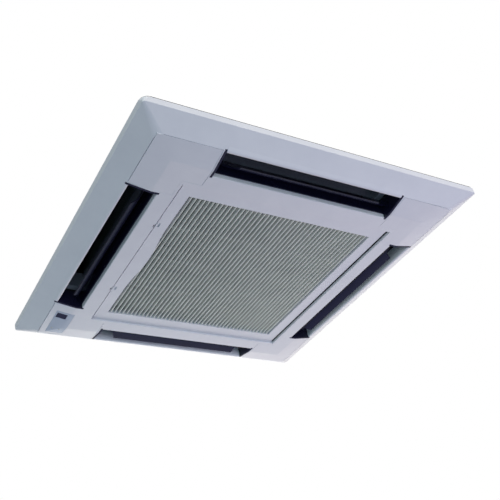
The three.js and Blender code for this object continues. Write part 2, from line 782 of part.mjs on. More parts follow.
function intakeGrille() {
  const bottom = -grilleDepth;
  const plateTop = bottom + grillePlate;
  let grille = block(-grilleHalfX, grilleHalfX, -grilleHalfY, grilleHalfY, bottom, -flangeTop);
  grille = grille.subtract(block(-grilleHalfX + flangeThickness, grilleHalfX - flangeThickness,
    -grilleHalfY + flangeThickness, grilleHalfY - flangeThickness, plateTop, cutOver));
  grille = grille.subtract(prism(slatField(), bottom - cutOver, cutOver));

  const slatCount = Math.floor(2 * fieldHalfX / slatPitch);
  const slats = [];
  for (let i = 0; i < slatCount; i += 1) {
    const x = (i - (slatCount - 1) / 2) * slatPitch;
    slats.push(block(x - slatThickness / 2, x + slatThickness / 2, -fieldHalfY - 1, fieldHalfY + 1,
      bottom + slatRecess, -slatTop));
  }
  for (let i = 0; i < ribCount; i += 1) {
    const y = (i - (ribCount - 1) / 2) * ribPitch;
    slats.push(block(-fieldHalfX - 1, fieldHalfX + 1, y - ribThickness / 2, y + ribThickness / 2,
      -slatTop + seatGap, -slatTop + ribHeight));
  }
  // an upright collar round the slats carries their ends
  const collar = block(-fieldHalfX - collarWall, fieldHalfX + collarWall, -fieldHalfY - collarWall,
    fieldHalfY + collarWall, bottom + 1, -slatTop + ribHeight)
    .subtract(block(-fieldHalfX, fieldHalfX, -fieldHalfY, fieldHalfY, bottom - 1, cutOver));
  for (const slat of slats) grille = grille.add(slat);
  grille = grille.add(collar);

  for (const side of [-1, 1]) {
    grille = grille.subtract(latchSlot(side));
    const armGap = hingeArmThickness / 2 + runningGap;
    const y = side * hingeY;
    grille = grille.subtract(block(grilleHalfX - flangeThickness - 1, grilleHalfX + 1, y - armGap - 1,
      y + armGap + 1, plateTop, cutOver));
    for (const end of [-1, 1]) {
      const start = y + end * armGap + (end < 0 ? -hingeLugThickness : 0);
      const lug = block(hingeX - hingeLugHalfWidth, hingeX + hingeLugHalfWidth,
        start, start + hingeLugThickness, plateTop - 1, -hingeDepth + hingeLugHalfWidth);
      const pinHole = rodAlongY(hingeX, -hingeDepth, start - 1, start + hingeLugThickness + 1,
        hingePinRadius + seatGap);
      grille = grille.add(lug).subtract(pinHole);
    }
  }
  return grille;
}

function latchSlot(side) {
  const y = side * latchY;
  const wide = latchHalfWidth + runningGap;
  return block(-grilleHalfX - 1, -grilleHalfX + latchTab + latchTravel + runningGap, y - wide, y + wide,
    -grilleDepth - 1, -latchTopDepth + seatGap);
}

function grilleLatch(side) {
  const y = side * latchY;
  const bottom = -latchTopDepth - latchThickness;
  const slide = block(-grilleHalfX - latchTongue, -grilleHalfX + latchTail,
    y - latchHalfWidth, y + latchHalfWidth, bottom, -latchTopDepth);
  const tab = block(-grilleHalfX + seatGap, -grilleHalfX + latchTab, y - latchHalfWidth, y + latchHalfWidth,
    -grilleDepth, bottom + 1);
  return slide.add(tab);
}

function hingePin(side) {
  const reach = hingeArmThickness / 2 + runningGap + hingeLugThickness + hingePinHead;
  const y = side * hingeY;
  return rodAlongY(hingeX, -hingeDepth, y - reach, y + reach, hingePinRadius);
}

const filterBottom = -slatTop + ribHeight + seatGap;

function filterFrame() {
  const top = filterBottom + filterThickness;
  const innerX = filterHalfX - filterBorder;
  const innerY = filterHalfY - filterBorder;
  const pitchX = (2 * innerX + filterBar) / (filterBars + 1);
  const pitchY = (2 * innerY + filterBar) / (filterBars + 1);
  let frame = block(-filterHalfX, filterHalfX, -filterHalfY, filterHalfY, filterBottom, top)
    .subtract(block(-innerX, innerX, -innerY, innerY, top - netThickness - 2 * seatGap, top + 1));
  for (let i = 0; i <= filterBars; i += 1) {
    for (let j = 0; j <= filterBars; j += 1) {
      const x = -innerX + i * pitchX;
      const y = -innerY + j * pitchY;
      const cell = block(x, x + pitchX - filterBar, y, y + pitchY - filterBar, filterBottom - 1, top + 1);
      frame = frame.subtract(cell);
    }
  }
  return frame;
}

function filterNet() {
  const top = filterBottom + filterThickness;
  const halfX = filterHalfX - filterBorder - seatGap;
  const halfY = filterHalfY - filterBorder - seatGap;
  return block(-halfX, halfX, -halfY, halfY, top - netThickness - seatGap, top - seatGap);
}

// ---- body above the ceiling ----

function airSeal() {
  const bottom = rimTop + seatGap;
  const top = bodyBottom - seatGap;
  const outer = slotOuter + linerPlateReach + panelWall;
  const well = block(-wellRight, wellRight, -wellRight, wellRight, bottom - 1, top + 1);
  const duct = block(-slotHalfLength, slotHalfLength, -slotOuter + linerWall, -slotInner - linerWall,
    bottom - 1, top + 1);
  let seal = prism(octagon(outer, bodyChamfer + outer - bodyHalf), bottom, top).subtract(well);
  for (const turn of sideTurns) seal = seal.subtract(turned(duct, turn));
  for (let corner = 1; corner <= 4; corner += 1) {
    const [x, y] = boltPlace(corner);
    seal = seal.subtract(post(x, y, bottom - 1, top + 1, boltRadius + runningGap));
  }
  return seal;
}

function casingShell() {
  let shell = prism(bodyOutline(0), bodyBottom, bodyTop)
    .subtract(prism(bodyOutline(sheetMetal), bodyBottom - 1, bodyTop + 1));
  // a foot in each corner takes the panel bolt
  const foot = block(bodyHalf - footSize, bodyHalf, bodyHalf - footSize, bodyHalf, bodyBottom,
    bodyBottom + footThickness)
    .intersect(prism(bodyOutline(0), bodyBottom, bodyTop))
    .subtract(block(0, ductOuter + ductFootGap, 0, ductHalfLength + 2.5 * ductFootGap, 0, bodyTop));
  for (let corner = 1; corner <= 4; corner += 1) {
    const [x, y] = boltPlace(corner);
    shell = shell.add(turned(foot, cornerTurn(corner)))
      .subtract(post(x, y, bodyBottom - 1, bodyBottom + footThickness + 1, boltRadius + seatGap));
  }
  // the pipes leave through corner 3 and the drain through side 2
  shell = shell.subtract(pipeHoles());
  const drainHole = rod(drainY, drainHeight, bodyHalf - linerFoam, bodyHalf + linerFoam,
    drainRadius + runningGap);
  return shell.subtract(drainHole);
}

function insulationLiner() {
  const bottom = panTop + seatGap;
  const top = bodyTop - seatGap;
  const outer = sheetMetal + seatGap;
  let liner = prism(bodyOutline(outer), bottom, top)
    .subtract(prism(bodyOutline(outer + linerFoam), bottom - 1, top + 1));
  liner = liner.subtract(pipeHoles());
  return liner.subtract(rod(drainY, drainHeight, bodyHalf - 3 * linerFoam, bodyHalf + linerFoam,
    drainRadius + runningGap));
}

function topPlate() {
  const bottom = bodyTop + seatGap;
  return prism(bodyOutline(0), bottom, bottom + sheetMetal)
    .add(post(0, 0, bottom, bottom + sheetMetal + topBossHeight, topBossRadius, roundSides));
}

function drainPan() {
  const bottom = bodyBottom + footThickness + seatGap;
  let pan = prism(bodyOutline(sheetMetal + seatGap), bottom, panTop);
  pan = pan.subtract(post(0, 0, bottom - 1, panTop + 1, panHoleRadius, roundSides));
  const duct = block(-ductHalfLength, ductHalfLength, -ductOuter, -ductInner, bottom - 1, panTop + 1);
  for (const turn of sideTurns) pan = pan.subtract(turned(duct, turn));
  // channel that catches the water under the coil, with a sump below the pump
  const low = coilOuterHalf - coilThickness - channelMargin;
  const high = coilOuterHalf + channelMargin;
  pan = pan.subtract(prism(roundedSquare(high, coilCornerRadius), panTop - channelDepth, panTop + 1)
    .subtract(prism(roundedSquare(low, coilCornerRadius / 2), panTop - channelDepth - 1, panTop + 2)));
  const sump = block(...sumpOut, -sumpHalfWidth, sumpHalfWidth, panTop - channelDepth, panTop + 1);
  pan = pan.subtract(turned(sump, -45));
  pan = pan.subtract(block(-controlHalfX - seatGap, controlHalfX + seatGap, controlY[0] - seatGap,
    controlY[1] + seatGap, bottom - 1, controlZ[1] + seatGap));
  for (let corner = 1; corner <= 4; corner += 1) {
    const [x, y] = boltPlace(corner);
    pan = pan.subtract(post(x, y, bottom - 1, boltTop + 2, boltRadius + 2));
  }
  return pan;
}

function bellMouth() {
  const outer = [];
  const inner = [];
  const width = mouthFlangeRadius - mouthThroatRadius - mouthRim;
  const height = mouthTop - mouthBottom - mouthRim;
  for (let i = 0; i <= roundSteps; i += 1) {
    const angle = i / roundSteps * Math.PI / 2;
    const r = mouthThroatRadius + width * (1 - Math.sin(angle));
    const z = mouthBottom + height * (1 - Math.cos(angle));
    outer.push([r, z]);
    inner.unshift([r + mouthWall, z + mouthWall]);
  }
  return revolve([
    [mouthFlangeRadius, mouthBottom], ...outer, [mouthThroatRadius, mouthTop],
    [mouthThroatRadius + mouthWall, mouthTop], ...inner, [mouthFlangeRadius, mouthBottom + mouthWall],
  ]);
}

function fanBlade() {
  const front = [];
  const back = [];
  for (let i = 0; i <= bladeSteps; i += 1) {
    const share = i / bladeSteps;
    const radius = bladeInnerRadius + (fanRadius - 2 - bladeInnerRadius) * share;
    const angle = bladeTurn * share;
    const fullness = 0.25 + 0.75 * Math.sin(Math.PI * Math.min(share * 1.4, 1)) ** 0.5;
    const half = bladeThickness * fullness / radius / 2;
    front.push([radius * Math.cos(angle + half), radius * Math.sin(angle + half)]);
    back.unshift([radius * Math.cos(angle - half), radius * Math.sin(angle - half)]);
  }
  return prism([...front, ...back], fanBottom + 1, fanTop - 1);
}

function turboFan() {
  const hub = revolve([
    [fanRadius, fanTop - fanWall], [bowlRadius, fanTop - fanWall], [bowlRadius - 12, bowlBottom + 12],
    [bowlRadius - 34, bowlBottom], [shaftRadius + seatGap, bowlBottom],
    [shaftRadius + seatGap, bowlBottom + 6],
    [bowlRadius - 36, bowlBottom + fanWall + 1], [bowlRadius - 15, bowlBottom + 14], [bowlRadius - 3, fanTop],
    [fanRadius, fanTop],
  ]);
  const shroudRim = fanBottom + fanRimDepth;
  const shroud = revolve([
    [fanEyeRadius, fanBottom], [fanEyeRadius + fanWall, fanBottom], [fanEyeRadius + 8, fanBottom + 12],
    [fanRadius, shroudRim], [fanRadius, shroudRim + fanWall], [fanEyeRadius + 7, fanBottom + 15.5],
    [fanEyeRadius, fanBottom + 5],
  ]);
  // blades run between the plate and the shroud, clear of the throat, and stop inside the shroud
  const bladeBottom = mouthTop + 2;
  const middleRim = shroudRim + fanWall / 2;
  const below = revolve([
    [0, 0], [fanRadius + 1, 0], [fanRadius + 1, middleRim], [fanRadius, middleRim],
    [fanEyeRadius + 6, bladeBottom], [0, bladeBottom],
  ]);
  let fan = hub.add(shroud);
  const blade = fanBlade().subtract(below);
  for (let i = 0; i < bladeCount; i += 1) fan = fan.add(turned(blade, i * 360 / bladeCount));
  return fan;
}

function motorShaft() {
  return post(0, 0, shaftBottom, motorBodyBottom + shaftSocket, shaftRadius);
}

function hubNut() {
  const top = bowlBottom - seatGap;
  return post(0, 0, top - nutHeight, top, nutRadius, 6)
    .subtract(post(0, 0, top - nutHeight - 1, top + 1, shaftRadius + seatGap));
}

function fanMotor() {
  let motor = revolve([
    [0, motorBodyBottom], [motorBodyRadius - 14, motorBodyBottom], [motorBodyRadius, motorBodyBottom + 14],
    [motorBodyRadius, motorBodyTop - 6], [motorFlangeRadius, motorBodyTop - 6],
    [motorFlangeRadius, motorBodyTop],
    [0, motorBodyTop],
  ]);
  for (let i = 0; i < 4; i += 1) {
    const angle = (i + 0.5) * Math.PI / 2;
    motor = motor.add(post(motorPostOffset * Math.cos(angle), motorPostOffset * Math.sin(angle),
      motorBodyTop - 1, bodyTop, motorPostRadius));
  }
  return motor.subtract(post(0, 0, motorBodyBottom - 1, motorBodyBottom + shaftSocket + seatGap,
    shaftRadius + seatGap));
}

function heatExchanger() {
  const bottom = panTop - channelDepth + seatGap;
  const ring = prism(roundedSquare(coilOuterHalf, coilCornerRadius), bottom, coilTop)
    .subtract(prism(roundedSquare(coilOuterHalf - coilThickness, coilCornerRadius - coilThickness),
      bottom - 1, coilTop + 1));
  const reach = coilOuterHalf - coilGap;
  return ring.subtract(block(reach, bodyHalf, reach, bodyHalf, 0, bodyTop));
}

// One end plate of the coil; the other is its mirror image
function tubeSheet(mirrored) {
  const near = coilOuterHalf - coilGap + seatGap;
  const bottom = panTop - channelDepth + seatGap;
  const sheet = block(near, near + sheetThickness, coilOuterHalf - coilThickness, coilOuterHalf,
    bottom, coilTop);
  return mirrored ? turned(sheet.mirror([0, 1, 0]), 90) : sheet;
}

// The gas pipe starts at a header beside tube sheet 1; the liquid pipe, its mirror image in plan,
// beside sheet 2
function refrigerantPipe(height, radius, mirrored) {
  const spread = pipeSpread / Math.SQRT2;
  const header = radius + headerWall;
  const start = coilOuterHalf - coilGap + sheetThickness + 2 * seatGap + header;
  const middle = coilOuterHalf - coilThickness / 2;
  const path = new THREE.CurvePath();
  const turnIn = new THREE.Vector3(start, middle, height);
  const corner = new THREE.Vector3(middle - 2 * spread, middle, height);
  const turnOut = new THREE.Vector3(pipeBend - spread, pipeBend + spread, height);
  path.add(new THREE.QuadraticBezierCurve3(turnIn, corner, turnOut));
  path.add(new THREE.LineCurve3(turnOut, new THREE.Vector3(pipeEnd - spread, pipeEnd + spread, height)));
  const ring = [];
  for (let i = 0; i < smallSides; i += 1) {
    const angle = i / smallSides * 2 * Math.PI;
    ring.push(new THREE.Vector2(radius * Math.cos(angle), radius * Math.sin(angle)));
  }
  const shape = new THREE.Shape(ring);
  const tube = toSolid(new THREE.ExtrudeGeometry(shape,
    { steps: pipeSteps, bevelEnabled: false, extrudePath: path }));
  const end = pipeEnd * Math.SQRT2;
  const bore = turned(rod(pipeSpread, height, end - nutLength, end + 1, radius - 1), 45);
  const pipe = tube.add(post(start, middle, headerBottom, coilTop - headerRoom, header)).subtract(bore);
  return mirrored ? turned(pipe.mirror([0, 1, 0]), 90) : pipe;
}

function pipeHoles() {
  const out = bodyHalf * Math.SQRT2;
  const gas = rod(pipeSpread, gasHeight, out / 2, out, gasRadius + runningGap);
  const liquid = rod(-pipeSpread, liquidHeight, out / 2, out, liquidRadius + runningGap);
  return turned(gas.add(liquid), 45);
}

function flareNut(height, radius, offset) {
  const start = pipeEnd * Math.SQRT2 - nutLength + nutOverhang;
  const nut = rod(offset, height, start, start + nutLength, radius + nutWall, 6);
  return turned(nut.subtract(rod(offset, height, start - 1, start + nutLength + 1, radius + seatGap)), 45);
}

// Drawn with the corner's diagonal along X and turned into place; only the outlet leaves along side 2
const drainX = (pumpOut + pumpAside) / Math.SQRT2;
const drainY = (pumpAside - pumpOut) / Math.SQRT2;
const sumpFloor = panTop - channelDepth;

function drainPump() {
  const seat = panTop + seatGap;
  let pump = block(sumpOut[0] + 3 * plateOverlap, sumpOut[1] + plateOverlap, -sumpHalfWidth - plateOverlap,
    sumpHalfWidth + plateOverlap, seat, seat + pumpPlate);
  pump = pump.add(post(pumpOut, pumpAside, seat, pumpTop, pumpRadius))
    .add(post(pumpOut, pumpAside, sumpFloor + floatRest, pumpTop, pumpRadius / 2))
    .add(post(pumpOut, pumpAside, pumpTop - 1, drainHeight + drainRadius, drainRadius));
  // an arm carries the stem that the float rides on
  pump = pump.subtract(post(pumpOut, floatAside, 0, pumpTop, floatRadius + 2 * runningGap))
    .add(block(pumpOut - floatArm, pumpOut + floatArm, floatAside - floatArm, pumpAside, floatArmHeight,
      floatArmHeight + floatArm))
    .add(post(pumpOut, floatAside, sumpFloor + 1, floatArmHeight + 1, stemRadius));
  const outlet = rod(drainY, drainHeight, drainX, drainEnd, drainRadius);
  const bore = rod(drainY, drainHeight, drainX + 2 * drainRadius, drainEnd + 1, drainRadius - drainWall);
  return turned(pump, -45).add(outlet).subtract(bore);
}

function waterFloat() {
  const bottom = sumpFloor + floatRest;
  const float = post(pumpOut, floatAside, bottom, bottom + floatHeight, floatRadius)
    .subtract(post(pumpOut, floatAside, bottom - 1, bottom + floatHeight + 1, stemRadius + seatGap));
  return turned(float, -45);
}

function controlBox() {
  const [y0, y1] = controlY;
  const [z0, z1] = controlZ;
  return block(-controlHalfX, controlHalfX, y0, y1, z0, z1)
    .subtract(block(-controlHalfX + controlWall, controlHalfX - controlWall,
      y0 + controlWall, y1 - controlWall, z0 - 1, z1 - controlWall));
}

function controlBoxCover() {
  const [y0, y1] = controlY;
  const top = controlZ[0] - seatGap;
  const lid = block(-controlHalfX, controlHalfX, y0, y1, top - controlWall, top);
  const inside = controlWall + seatGap;
  const rim = inside + controlWall;
  return lid.add(block(-controlHalfX + inside, controlHalfX - inside, y0 + inside, y1 - inside, top - 1,
    top + controlLip)
    .subtract(block(-controlHalfX + rim, controlHalfX - rim, y0 + rim, y1 - rim, top, top + controlLip + 1)));
}

// The board hangs by four posts from the top of the box, with its parts facing the cover
function controlBoardSolid() {
  const [x0, x1, y0, y1] = controlBoard;
  const ceiling = controlZ[1] - controlWall - seatGap;
  let board = block(x0, x1, y0, y1, controlBoardZ, controlBoardZ + boardThickness);
  for (const x of [x0 + 2 * postRadius, x1 - 2 * postRadius]) {
    for (const y of [y0 + 2 * postRadius, y1 - 2 * postRadius]) {
      board = board.add(post(x, y, controlBoardZ + boardThickness / 2, ceiling, postRadius));
    }
  }
  for (const [start, width, height] of controlParts) {
    board = board.add(block(x0 + start, x0 + start + width, y0 + 2 * postRadius, y1 - 2 * postRadius,
      controlBoardZ - height, controlBoardZ + boardThickness / 2));
  }
  return board;
}

function suspensionBracket() {
  const face = cornerFace + seatGap;
  const leg = block(face, face + bracketThickness, -bracketHalfWidth, bracketHalfWidth,
    bracketHeight - bracketDrop, bracketHeight);
  const ear = block(face, face + bracketReach, -bracketHalfWidth, bracketHalfWidth,
    bracketHeight - bracketThickness, bracketHeight);
  const hole = post(face + rodOut, 0, bracketHeight - 10, bracketHeight + 1, rodRadius);
  return turned(leg.add(ear).subtract(hole), 45);
}

// ---- finishes ----

const finishes = {
  whiteAbs: { color: 0xe6e8ee, roughness: 0.42, metalness: 0 },
  receiverGrey: { color: 0xb4bcc9, roughness: 0.45, metalness: 0 },
  darkPlastic: { color: 0x14151c, roughness: 0.28, metalness: 0 },
  smokedWindow: { color: 0x1d2233, roughness: 0.1, metalness: 0 },
  motorWhite: { color: 0xd8d8d2, roughness: 0.5, metalness: 0 },
  blackFoam: { color: 0x1c1c1e, roughness: 0.95, metalness: 0 },
  whiteFoam: { color: 0xe9e9e4, roughness: 0.9, metalness: 0 },
  filterGrey: { color: 0x5d6468, roughness: 0.8, metalness: 0 },
  greyAbs: { color: 0xb9bcbc, roughness: 0.5, metalness: 0 },
  zincSheet: { color: 0xa9adb0, roughness: 0.4, metalness: 1 },
  aluminiumFins: { color: 0xc3c7ca, roughness: 0.45, metalness: 1 },
  copper: { color: 0xb87348, roughness: 0.35, metalness: 1 },
  brass: { color: 0xb59a57, roughness: 0.35, metalness: 1 },
  steel: { color: 0x9a9c9e, roughness: 0.35, metalness: 1 },
  boardGreen: { color: 0x2c5a3c, roughness: 0.6, metalness: 0 },
  motorBlack: { color: 0x2a2b2d, roughness: 0.5, metalness: 0.3 },
};

const model = new THREE.Group();
model.name = 'ceiling_cassette';

function place(name, solid, finish, parent = model) {
  const mesh = solid.getMesh();
  const geometry = new THREE.BufferGeometry();
  geometry.setAttribute('position', new THREE.BufferAttribute(Float32Array.from(mesh.vertProperties), 3));
  geometry.setIndex(new THREE.BufferAttribute(Uint32Array.from(mesh.triVerts), 1));
  const piece = new THREE.Mesh(geometry, new THREE.MeshStandardMaterial(finishes[finish]));
  piece.name = name;
  parent.add(piece);
  return piece;
}

// ---- assembly ----

place('panel_frame', panelFrame(), 'whiteAbs');
place('ceiling_gasket', ceilingGasket(), 'blackFoam');
for (let corner = 1; corner <= 4; corner += 1) {
  place(`corner_cover_${corner}`, cornerCover(corner), 'whiteAbs');
  const bolt = place(`panel_bolt_${corner}`, panelBolt(), 'steel');
  bolt.position.set(...boltPlace(corner), 0);
}

const liner = outletLiner();
const vane = louvreVane();
const motor = vaneMotor();
sideTurns.forEach((turn, i) => {
  const side = new THREE.Group();
  side.rotation.z = THREE.MathUtils.degToRad(turn);
  model.add(side);
  place(`outlet_liner_${i + 1}`, liner, 'darkPlastic', side);
  place(`louvre_vane_${i + 1}`, vane, 'darkPlastic', side);
  place(`louvre_motor_${i + 1}`, motor, 'motorWhite', side);
});

const receiver = new THREE.Group();
receiver.rotation.z = THREE.MathUtils.degToRad(cornerTurn(4));
model.add(receiver);
place('receiver_housing', receiverHousing(), 'receiverGrey', receiver);
place('receiver_window', receiverWindow(), 'smokedWindow', receiver);
place('receiver_board', receiverBoard(), 'boardGreen', receiver);
buttonSides.forEach((y, i) => place(`manual_button_${i + 1}`, manualButton(y), 'greyAbs', receiver));

place('intake_grille', intakeGrille(), 'whiteAbs');
[-1, 1].forEach((side, i) => {
  place(`grille_latch_${i + 1}`, grilleLatch(side), 'whiteAbs');
  place(`hinge_pin_${i + 1}`, hingePin(side), 'steel');
});
place('filter_frame', filterFrame(), 'filterGrey');
place('filter_net', filterNet(), 'filterGrey');

place('air_seal', airSeal(), 'blackFoam');
place('casing_shell', casingShell(), 'zincSheet');
place('insulation_liner', insulationLiner(), 'blackFoam');
place('top_plate', topPlate(), 'zincSheet');
place('drain_pan', drainPan(), 'whiteFoam');
place('bell_mouth', bellMouth(), 'greyAbs');
place('turbo_fan', turboFan(), 'greyAbs');
place('motor_shaft', motorShaft(), 'steel');
place('hub_nut', hubNut(), 'brass');
place('fan_motor', fanMotor(), 'motorBlack');
place('heat_exchanger', heatExchanger(), 'aluminiumFins');
place('tube_sheet_1', tubeSheet(false), 'zincSheet');
place('tube_sheet_2', tubeSheet(true), 'zincSheet');
place('gas_pipe', refrigerantPipe(gasHeight, gasRadius, false), 'copper');
place('liquid_pipe', refrigerantPipe(liquidHeight, liquidRadius, true), 'copper');
place('gas_flare_nut', flareNut(gasHeight, gasRadius, pipeSpread), 'brass');
place('liquid_flare_nut', flareNut(liquidHeight, liquidRadius, -pipeSpread), 'brass');
place('drain_pump', drainPump(), 'greyAbs');
place('water_float', waterFloat(), 'whiteFoam');
place('control_box', controlBox(), 'zincSheet');
place('control_board', controlBoardSolid(), 'boardGreen');
place('control_box_cover', controlBoxCover(), 'zincSheet');
const bracket = suspensionBracket();
sideTurns.forEach((turn, i) => {
  const hanger = place(`suspension_bracket_${i + 1}`, bracket, 'zincSheet');
  hanger.rotation.z = THREE.MathUtils.degToRad(turn + 180);
});

export default model;
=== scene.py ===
import json
import math

import bmesh
import bpy
from mathutils import Matrix, Vector
from mathutils.geometry import delaunay_2d_cdt


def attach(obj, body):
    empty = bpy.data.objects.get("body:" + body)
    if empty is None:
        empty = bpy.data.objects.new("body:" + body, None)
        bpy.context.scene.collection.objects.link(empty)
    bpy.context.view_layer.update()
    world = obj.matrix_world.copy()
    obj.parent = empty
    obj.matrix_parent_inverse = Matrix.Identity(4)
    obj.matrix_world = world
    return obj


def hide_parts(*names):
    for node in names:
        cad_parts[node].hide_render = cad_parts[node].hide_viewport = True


# A four-way ceiling cassette air conditioner, seen from the room below. Metres, +Z up,
# origin at the middle of the panel on the plane of the ceiling.

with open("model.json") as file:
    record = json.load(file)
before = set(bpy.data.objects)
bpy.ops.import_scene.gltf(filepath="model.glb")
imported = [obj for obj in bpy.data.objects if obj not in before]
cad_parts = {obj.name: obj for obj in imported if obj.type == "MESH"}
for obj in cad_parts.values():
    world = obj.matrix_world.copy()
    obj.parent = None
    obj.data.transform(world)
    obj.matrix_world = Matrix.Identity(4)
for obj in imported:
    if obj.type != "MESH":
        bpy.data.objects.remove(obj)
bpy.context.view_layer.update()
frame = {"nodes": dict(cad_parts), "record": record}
nodes = frame["nodes"]
scene = bpy.context.scene
print("frame loaded:", len(nodes), "nodes")

bodyOf = {n: body for body, members in frame["record"]["behaviour"]["bodies"].items() for n in members}


def mm(value):
    return value / 1000


def toMm(value):
    return 1000 * value


# how many times something of this length in millimetres fits in a metre
def perMetre(length):
    return 1000 / length


# stands where the photograph was taken from: place in metres, three unit axes, lens in millimetres
cameraView = {
    "place": (-0.98318, -1.39911, -1.16563),
    "right": (0.881324, -0.452002, -0.137703),
    "up": (-0.16592, -0.568908, 0.80549),
    "back": (-0.442423, -0.68705, -0.576389),
    "lens": 53.868,
    "shift": (0.09006, 0.00732),
    "sensor": 36, "clip": (0.05, 60),
}


def setCamera(values):
    data = bpy.data.cameras.new("roomCamera")
    camera = bpy.data.objects.new("roomCamera", data)
    scene.collection.objects.link(camera)
    columns = (values["right"], values["up"], values["back"])
    camera.matrix_world = Matrix.Translation(values["place"]) @ Matrix(columns).transposed().to_4x4()
    data.sensor_width = values["sensor"]
    data.lens = values["lens"]
    data.shift_x, data.shift_y = values["shift"]
    data.clip_start, data.clip_end = values["clip"]
    scene.camera = camera


setCamera(cameraView)
print("camera set")


def linear(code):
    channels = [int(code[i:i + 2], 16) / 255 for i in (1, 3, 5)]
    return (*(c / 12.92 if c <= 0.04045 else ((c + 0.055) / 1.055) ** 2.4 for c in channels), 1.0)


# depth of the bump in millimetres, for each kind of finish
relief = {"plastic": 0.2, "zinc": 1.0, "foam": 0.8, "metal": 0.1, "bands": 0.6}
bandRepeat = math.pi / 10   # metres after which a band texture of scale 1 repeats


# settings go to the node's own properties, or else to its inputs; links are input: output
def addNode(tree, kind, settings=None, links=None):
    node = tree.nodes.new(kind)
    for key, value in (settings or {}).items():
        if isinstance(key, str) and hasattr(node, key):
            setattr(node, key, value)
        else:
            node.inputs[key].default_value = value
    for key, source in (links or {}).items():
        tree.links.new(source, node.inputs[key])
    return node


# The node tree of a material or a world, emptied
def emptyTree(owner):
    owner.use_nodes = True
    owner.node_tree.nodes.clear()
    return owner.node_tree


# A new material with its shader, its output and object coordinates in metres
def startMaterial(name, values):
    material = bpy.data.materials.new(name)
    tree = emptyTree(material)
    shader = addNode(tree, "ShaderNodeBsdfPrincipled", {
        "Base Color": linear(values["colour"]), "Metallic": values.get("metallic", 0.0),
        "Roughness": values["roughness"][0]})
    if "coat" in values:
        weight, roughness = values["coat"]
        shader.inputs["Coat Weight"].default_value = weight
        shader.inputs["Coat Roughness"].default_value = roughness
    if "ior" in values:
        shader.inputs["IOR"].default_value = values["ior"]
    addNode(tree, "ShaderNodeOutputMaterial", links={"Surface": shader.outputs[0]})
    place = addNode(tree, "ShaderNodeTexCoord").outputs["Object"]
    return material, tree, shader, place


# Blends the main colour with the second one by a pattern: inputs 6 and 7 and output 2 are the colours of
# a mix node
def tintBy(tree, shader, values, pattern):
    mix = addNode(tree, "ShaderNodeMix", {"data_type": "RGBA", 6: linear(values["colour"]),
                                          7: linear(values["second"])}, {0: pattern})
    tree.links.new(mix.outputs[2], shader.inputs["Base Color"])


def roughnessBy(tree, shader, values, pattern):
    low, high = values["roughness"]
    spread = addNode(tree, "ShaderNodeMapRange", {"To Min": low, "To Max": high}, {"Value": pattern})
    tree.links.new(spread.outputs[0], shader.inputs["Roughness"])


# Stands the surface out by a pattern, as far as this kind of finish does
def bumpBy(tree, shader, values, kind, pattern):
    bump = addNode(tree, "ShaderNodeBump", {"Strength": values["bump"], "Distance": mm(relief[kind])},
                   {"Height": pattern})
    tree.links.new(bump.outputs[0], shader.inputs["Normal"])


# Moulded plastic: faint cloudy variation of colour and gloss, and the fine grain that a spark-eroded
# mould leaves, drawn coarser than the real 0.1 mm so that it shows
def mouldedPlastic(name, values):
    material, tree, shader, place = startMaterial(name, values)
    cloud = addNode(tree, "ShaderNodeTexNoise", {
        "Scale": perMetre(values["cloud"]), "Detail": 3.0, "Roughness": 0.6}, {"Vector": place})
    soft = addNode(tree, "ShaderNodeMapRange", {"From Min": 0.3, "From Max": 0.7},
                   {"Value": cloud.outputs["Fac"]})
    tintBy(tree, shader, values, soft.outputs[0])
    roughnessBy(tree, shader, values, soft.outputs[0])
    grain = addNode(tree, "ShaderNodeTexNoise", {"Scale": perMetre(values["grain"]), "Detail": 2.0},
                    {"Vector": place})
    bumpBy(tree, shader, values, "plastic", grain.outputs["Fac"])
    return material


# Zinc-coated sheet: frost-like spangles, each with its own tone and gloss, and a faint rolling haze
def zincSheet(name, values):
    material, tree, shader, place = startMaterial(name, values)
    bend = addNode(tree, "ShaderNodeTexNoise", {"Scale": perMetre(values["spangle"]) * 0.8, "Detail": 2.0},
                   {"Vector": place})
    shifted = addNode(tree, "ShaderNodeVectorMath",
                      {"operation": "MULTIPLY_ADD", 1: (mm(values["spangle"]),) * 3},
                      {0: bend.outputs["Color"], 2: place})
    cells = addNode(tree, "ShaderNodeTexVoronoi", {"Scale": perMetre(values["spangle"]), "Randomness": 1.0},
                    {"Vector": shifted.outputs[0]})
    tone = addNode(tree, "ShaderNodeSeparateColor", links={"Color": cells.outputs["Color"]})
    tintBy(tree, shader, values, tone.outputs[0])
    roughnessBy(tree, shader, values, tone.outputs[1])
    haze = addNode(tree, "ShaderNodeTexNoise", {"Scale": 9.0, "Detail": 4.0}, {"Vector": place})
    bumpBy(tree, shader, values, "zinc", haze.outputs["Fac"])
    return material


# Foam: round cells or pearls pressed against each other
def pressedFoam(name, values):
    material, tree, shader, place = startMaterial(name, values)
    pearls = addNode(tree, "ShaderNodeTexVoronoi", {"Scale": perMetre(values["cell"]), "Randomness": 0.9},
                     {"Vector": place})
    edge = addNode(tree, "ShaderNodeMapRange", {"From Min": 0.1, "From Max": 0.75},
                   {"Value": pearls.outputs["Distance"]})
    tintBy(tree, shader, values, edge.outputs[0])
    roughnessBy(tree, shader, values, edge.outputs[0])
    flipped = addNode(tree, "ShaderNodeMath", {"operation": "SUBTRACT", 0: 1.0}, {1: edge.outputs[0]})
    bumpBy(tree, shader, values, "foam", flipped.outputs[0])
    return material


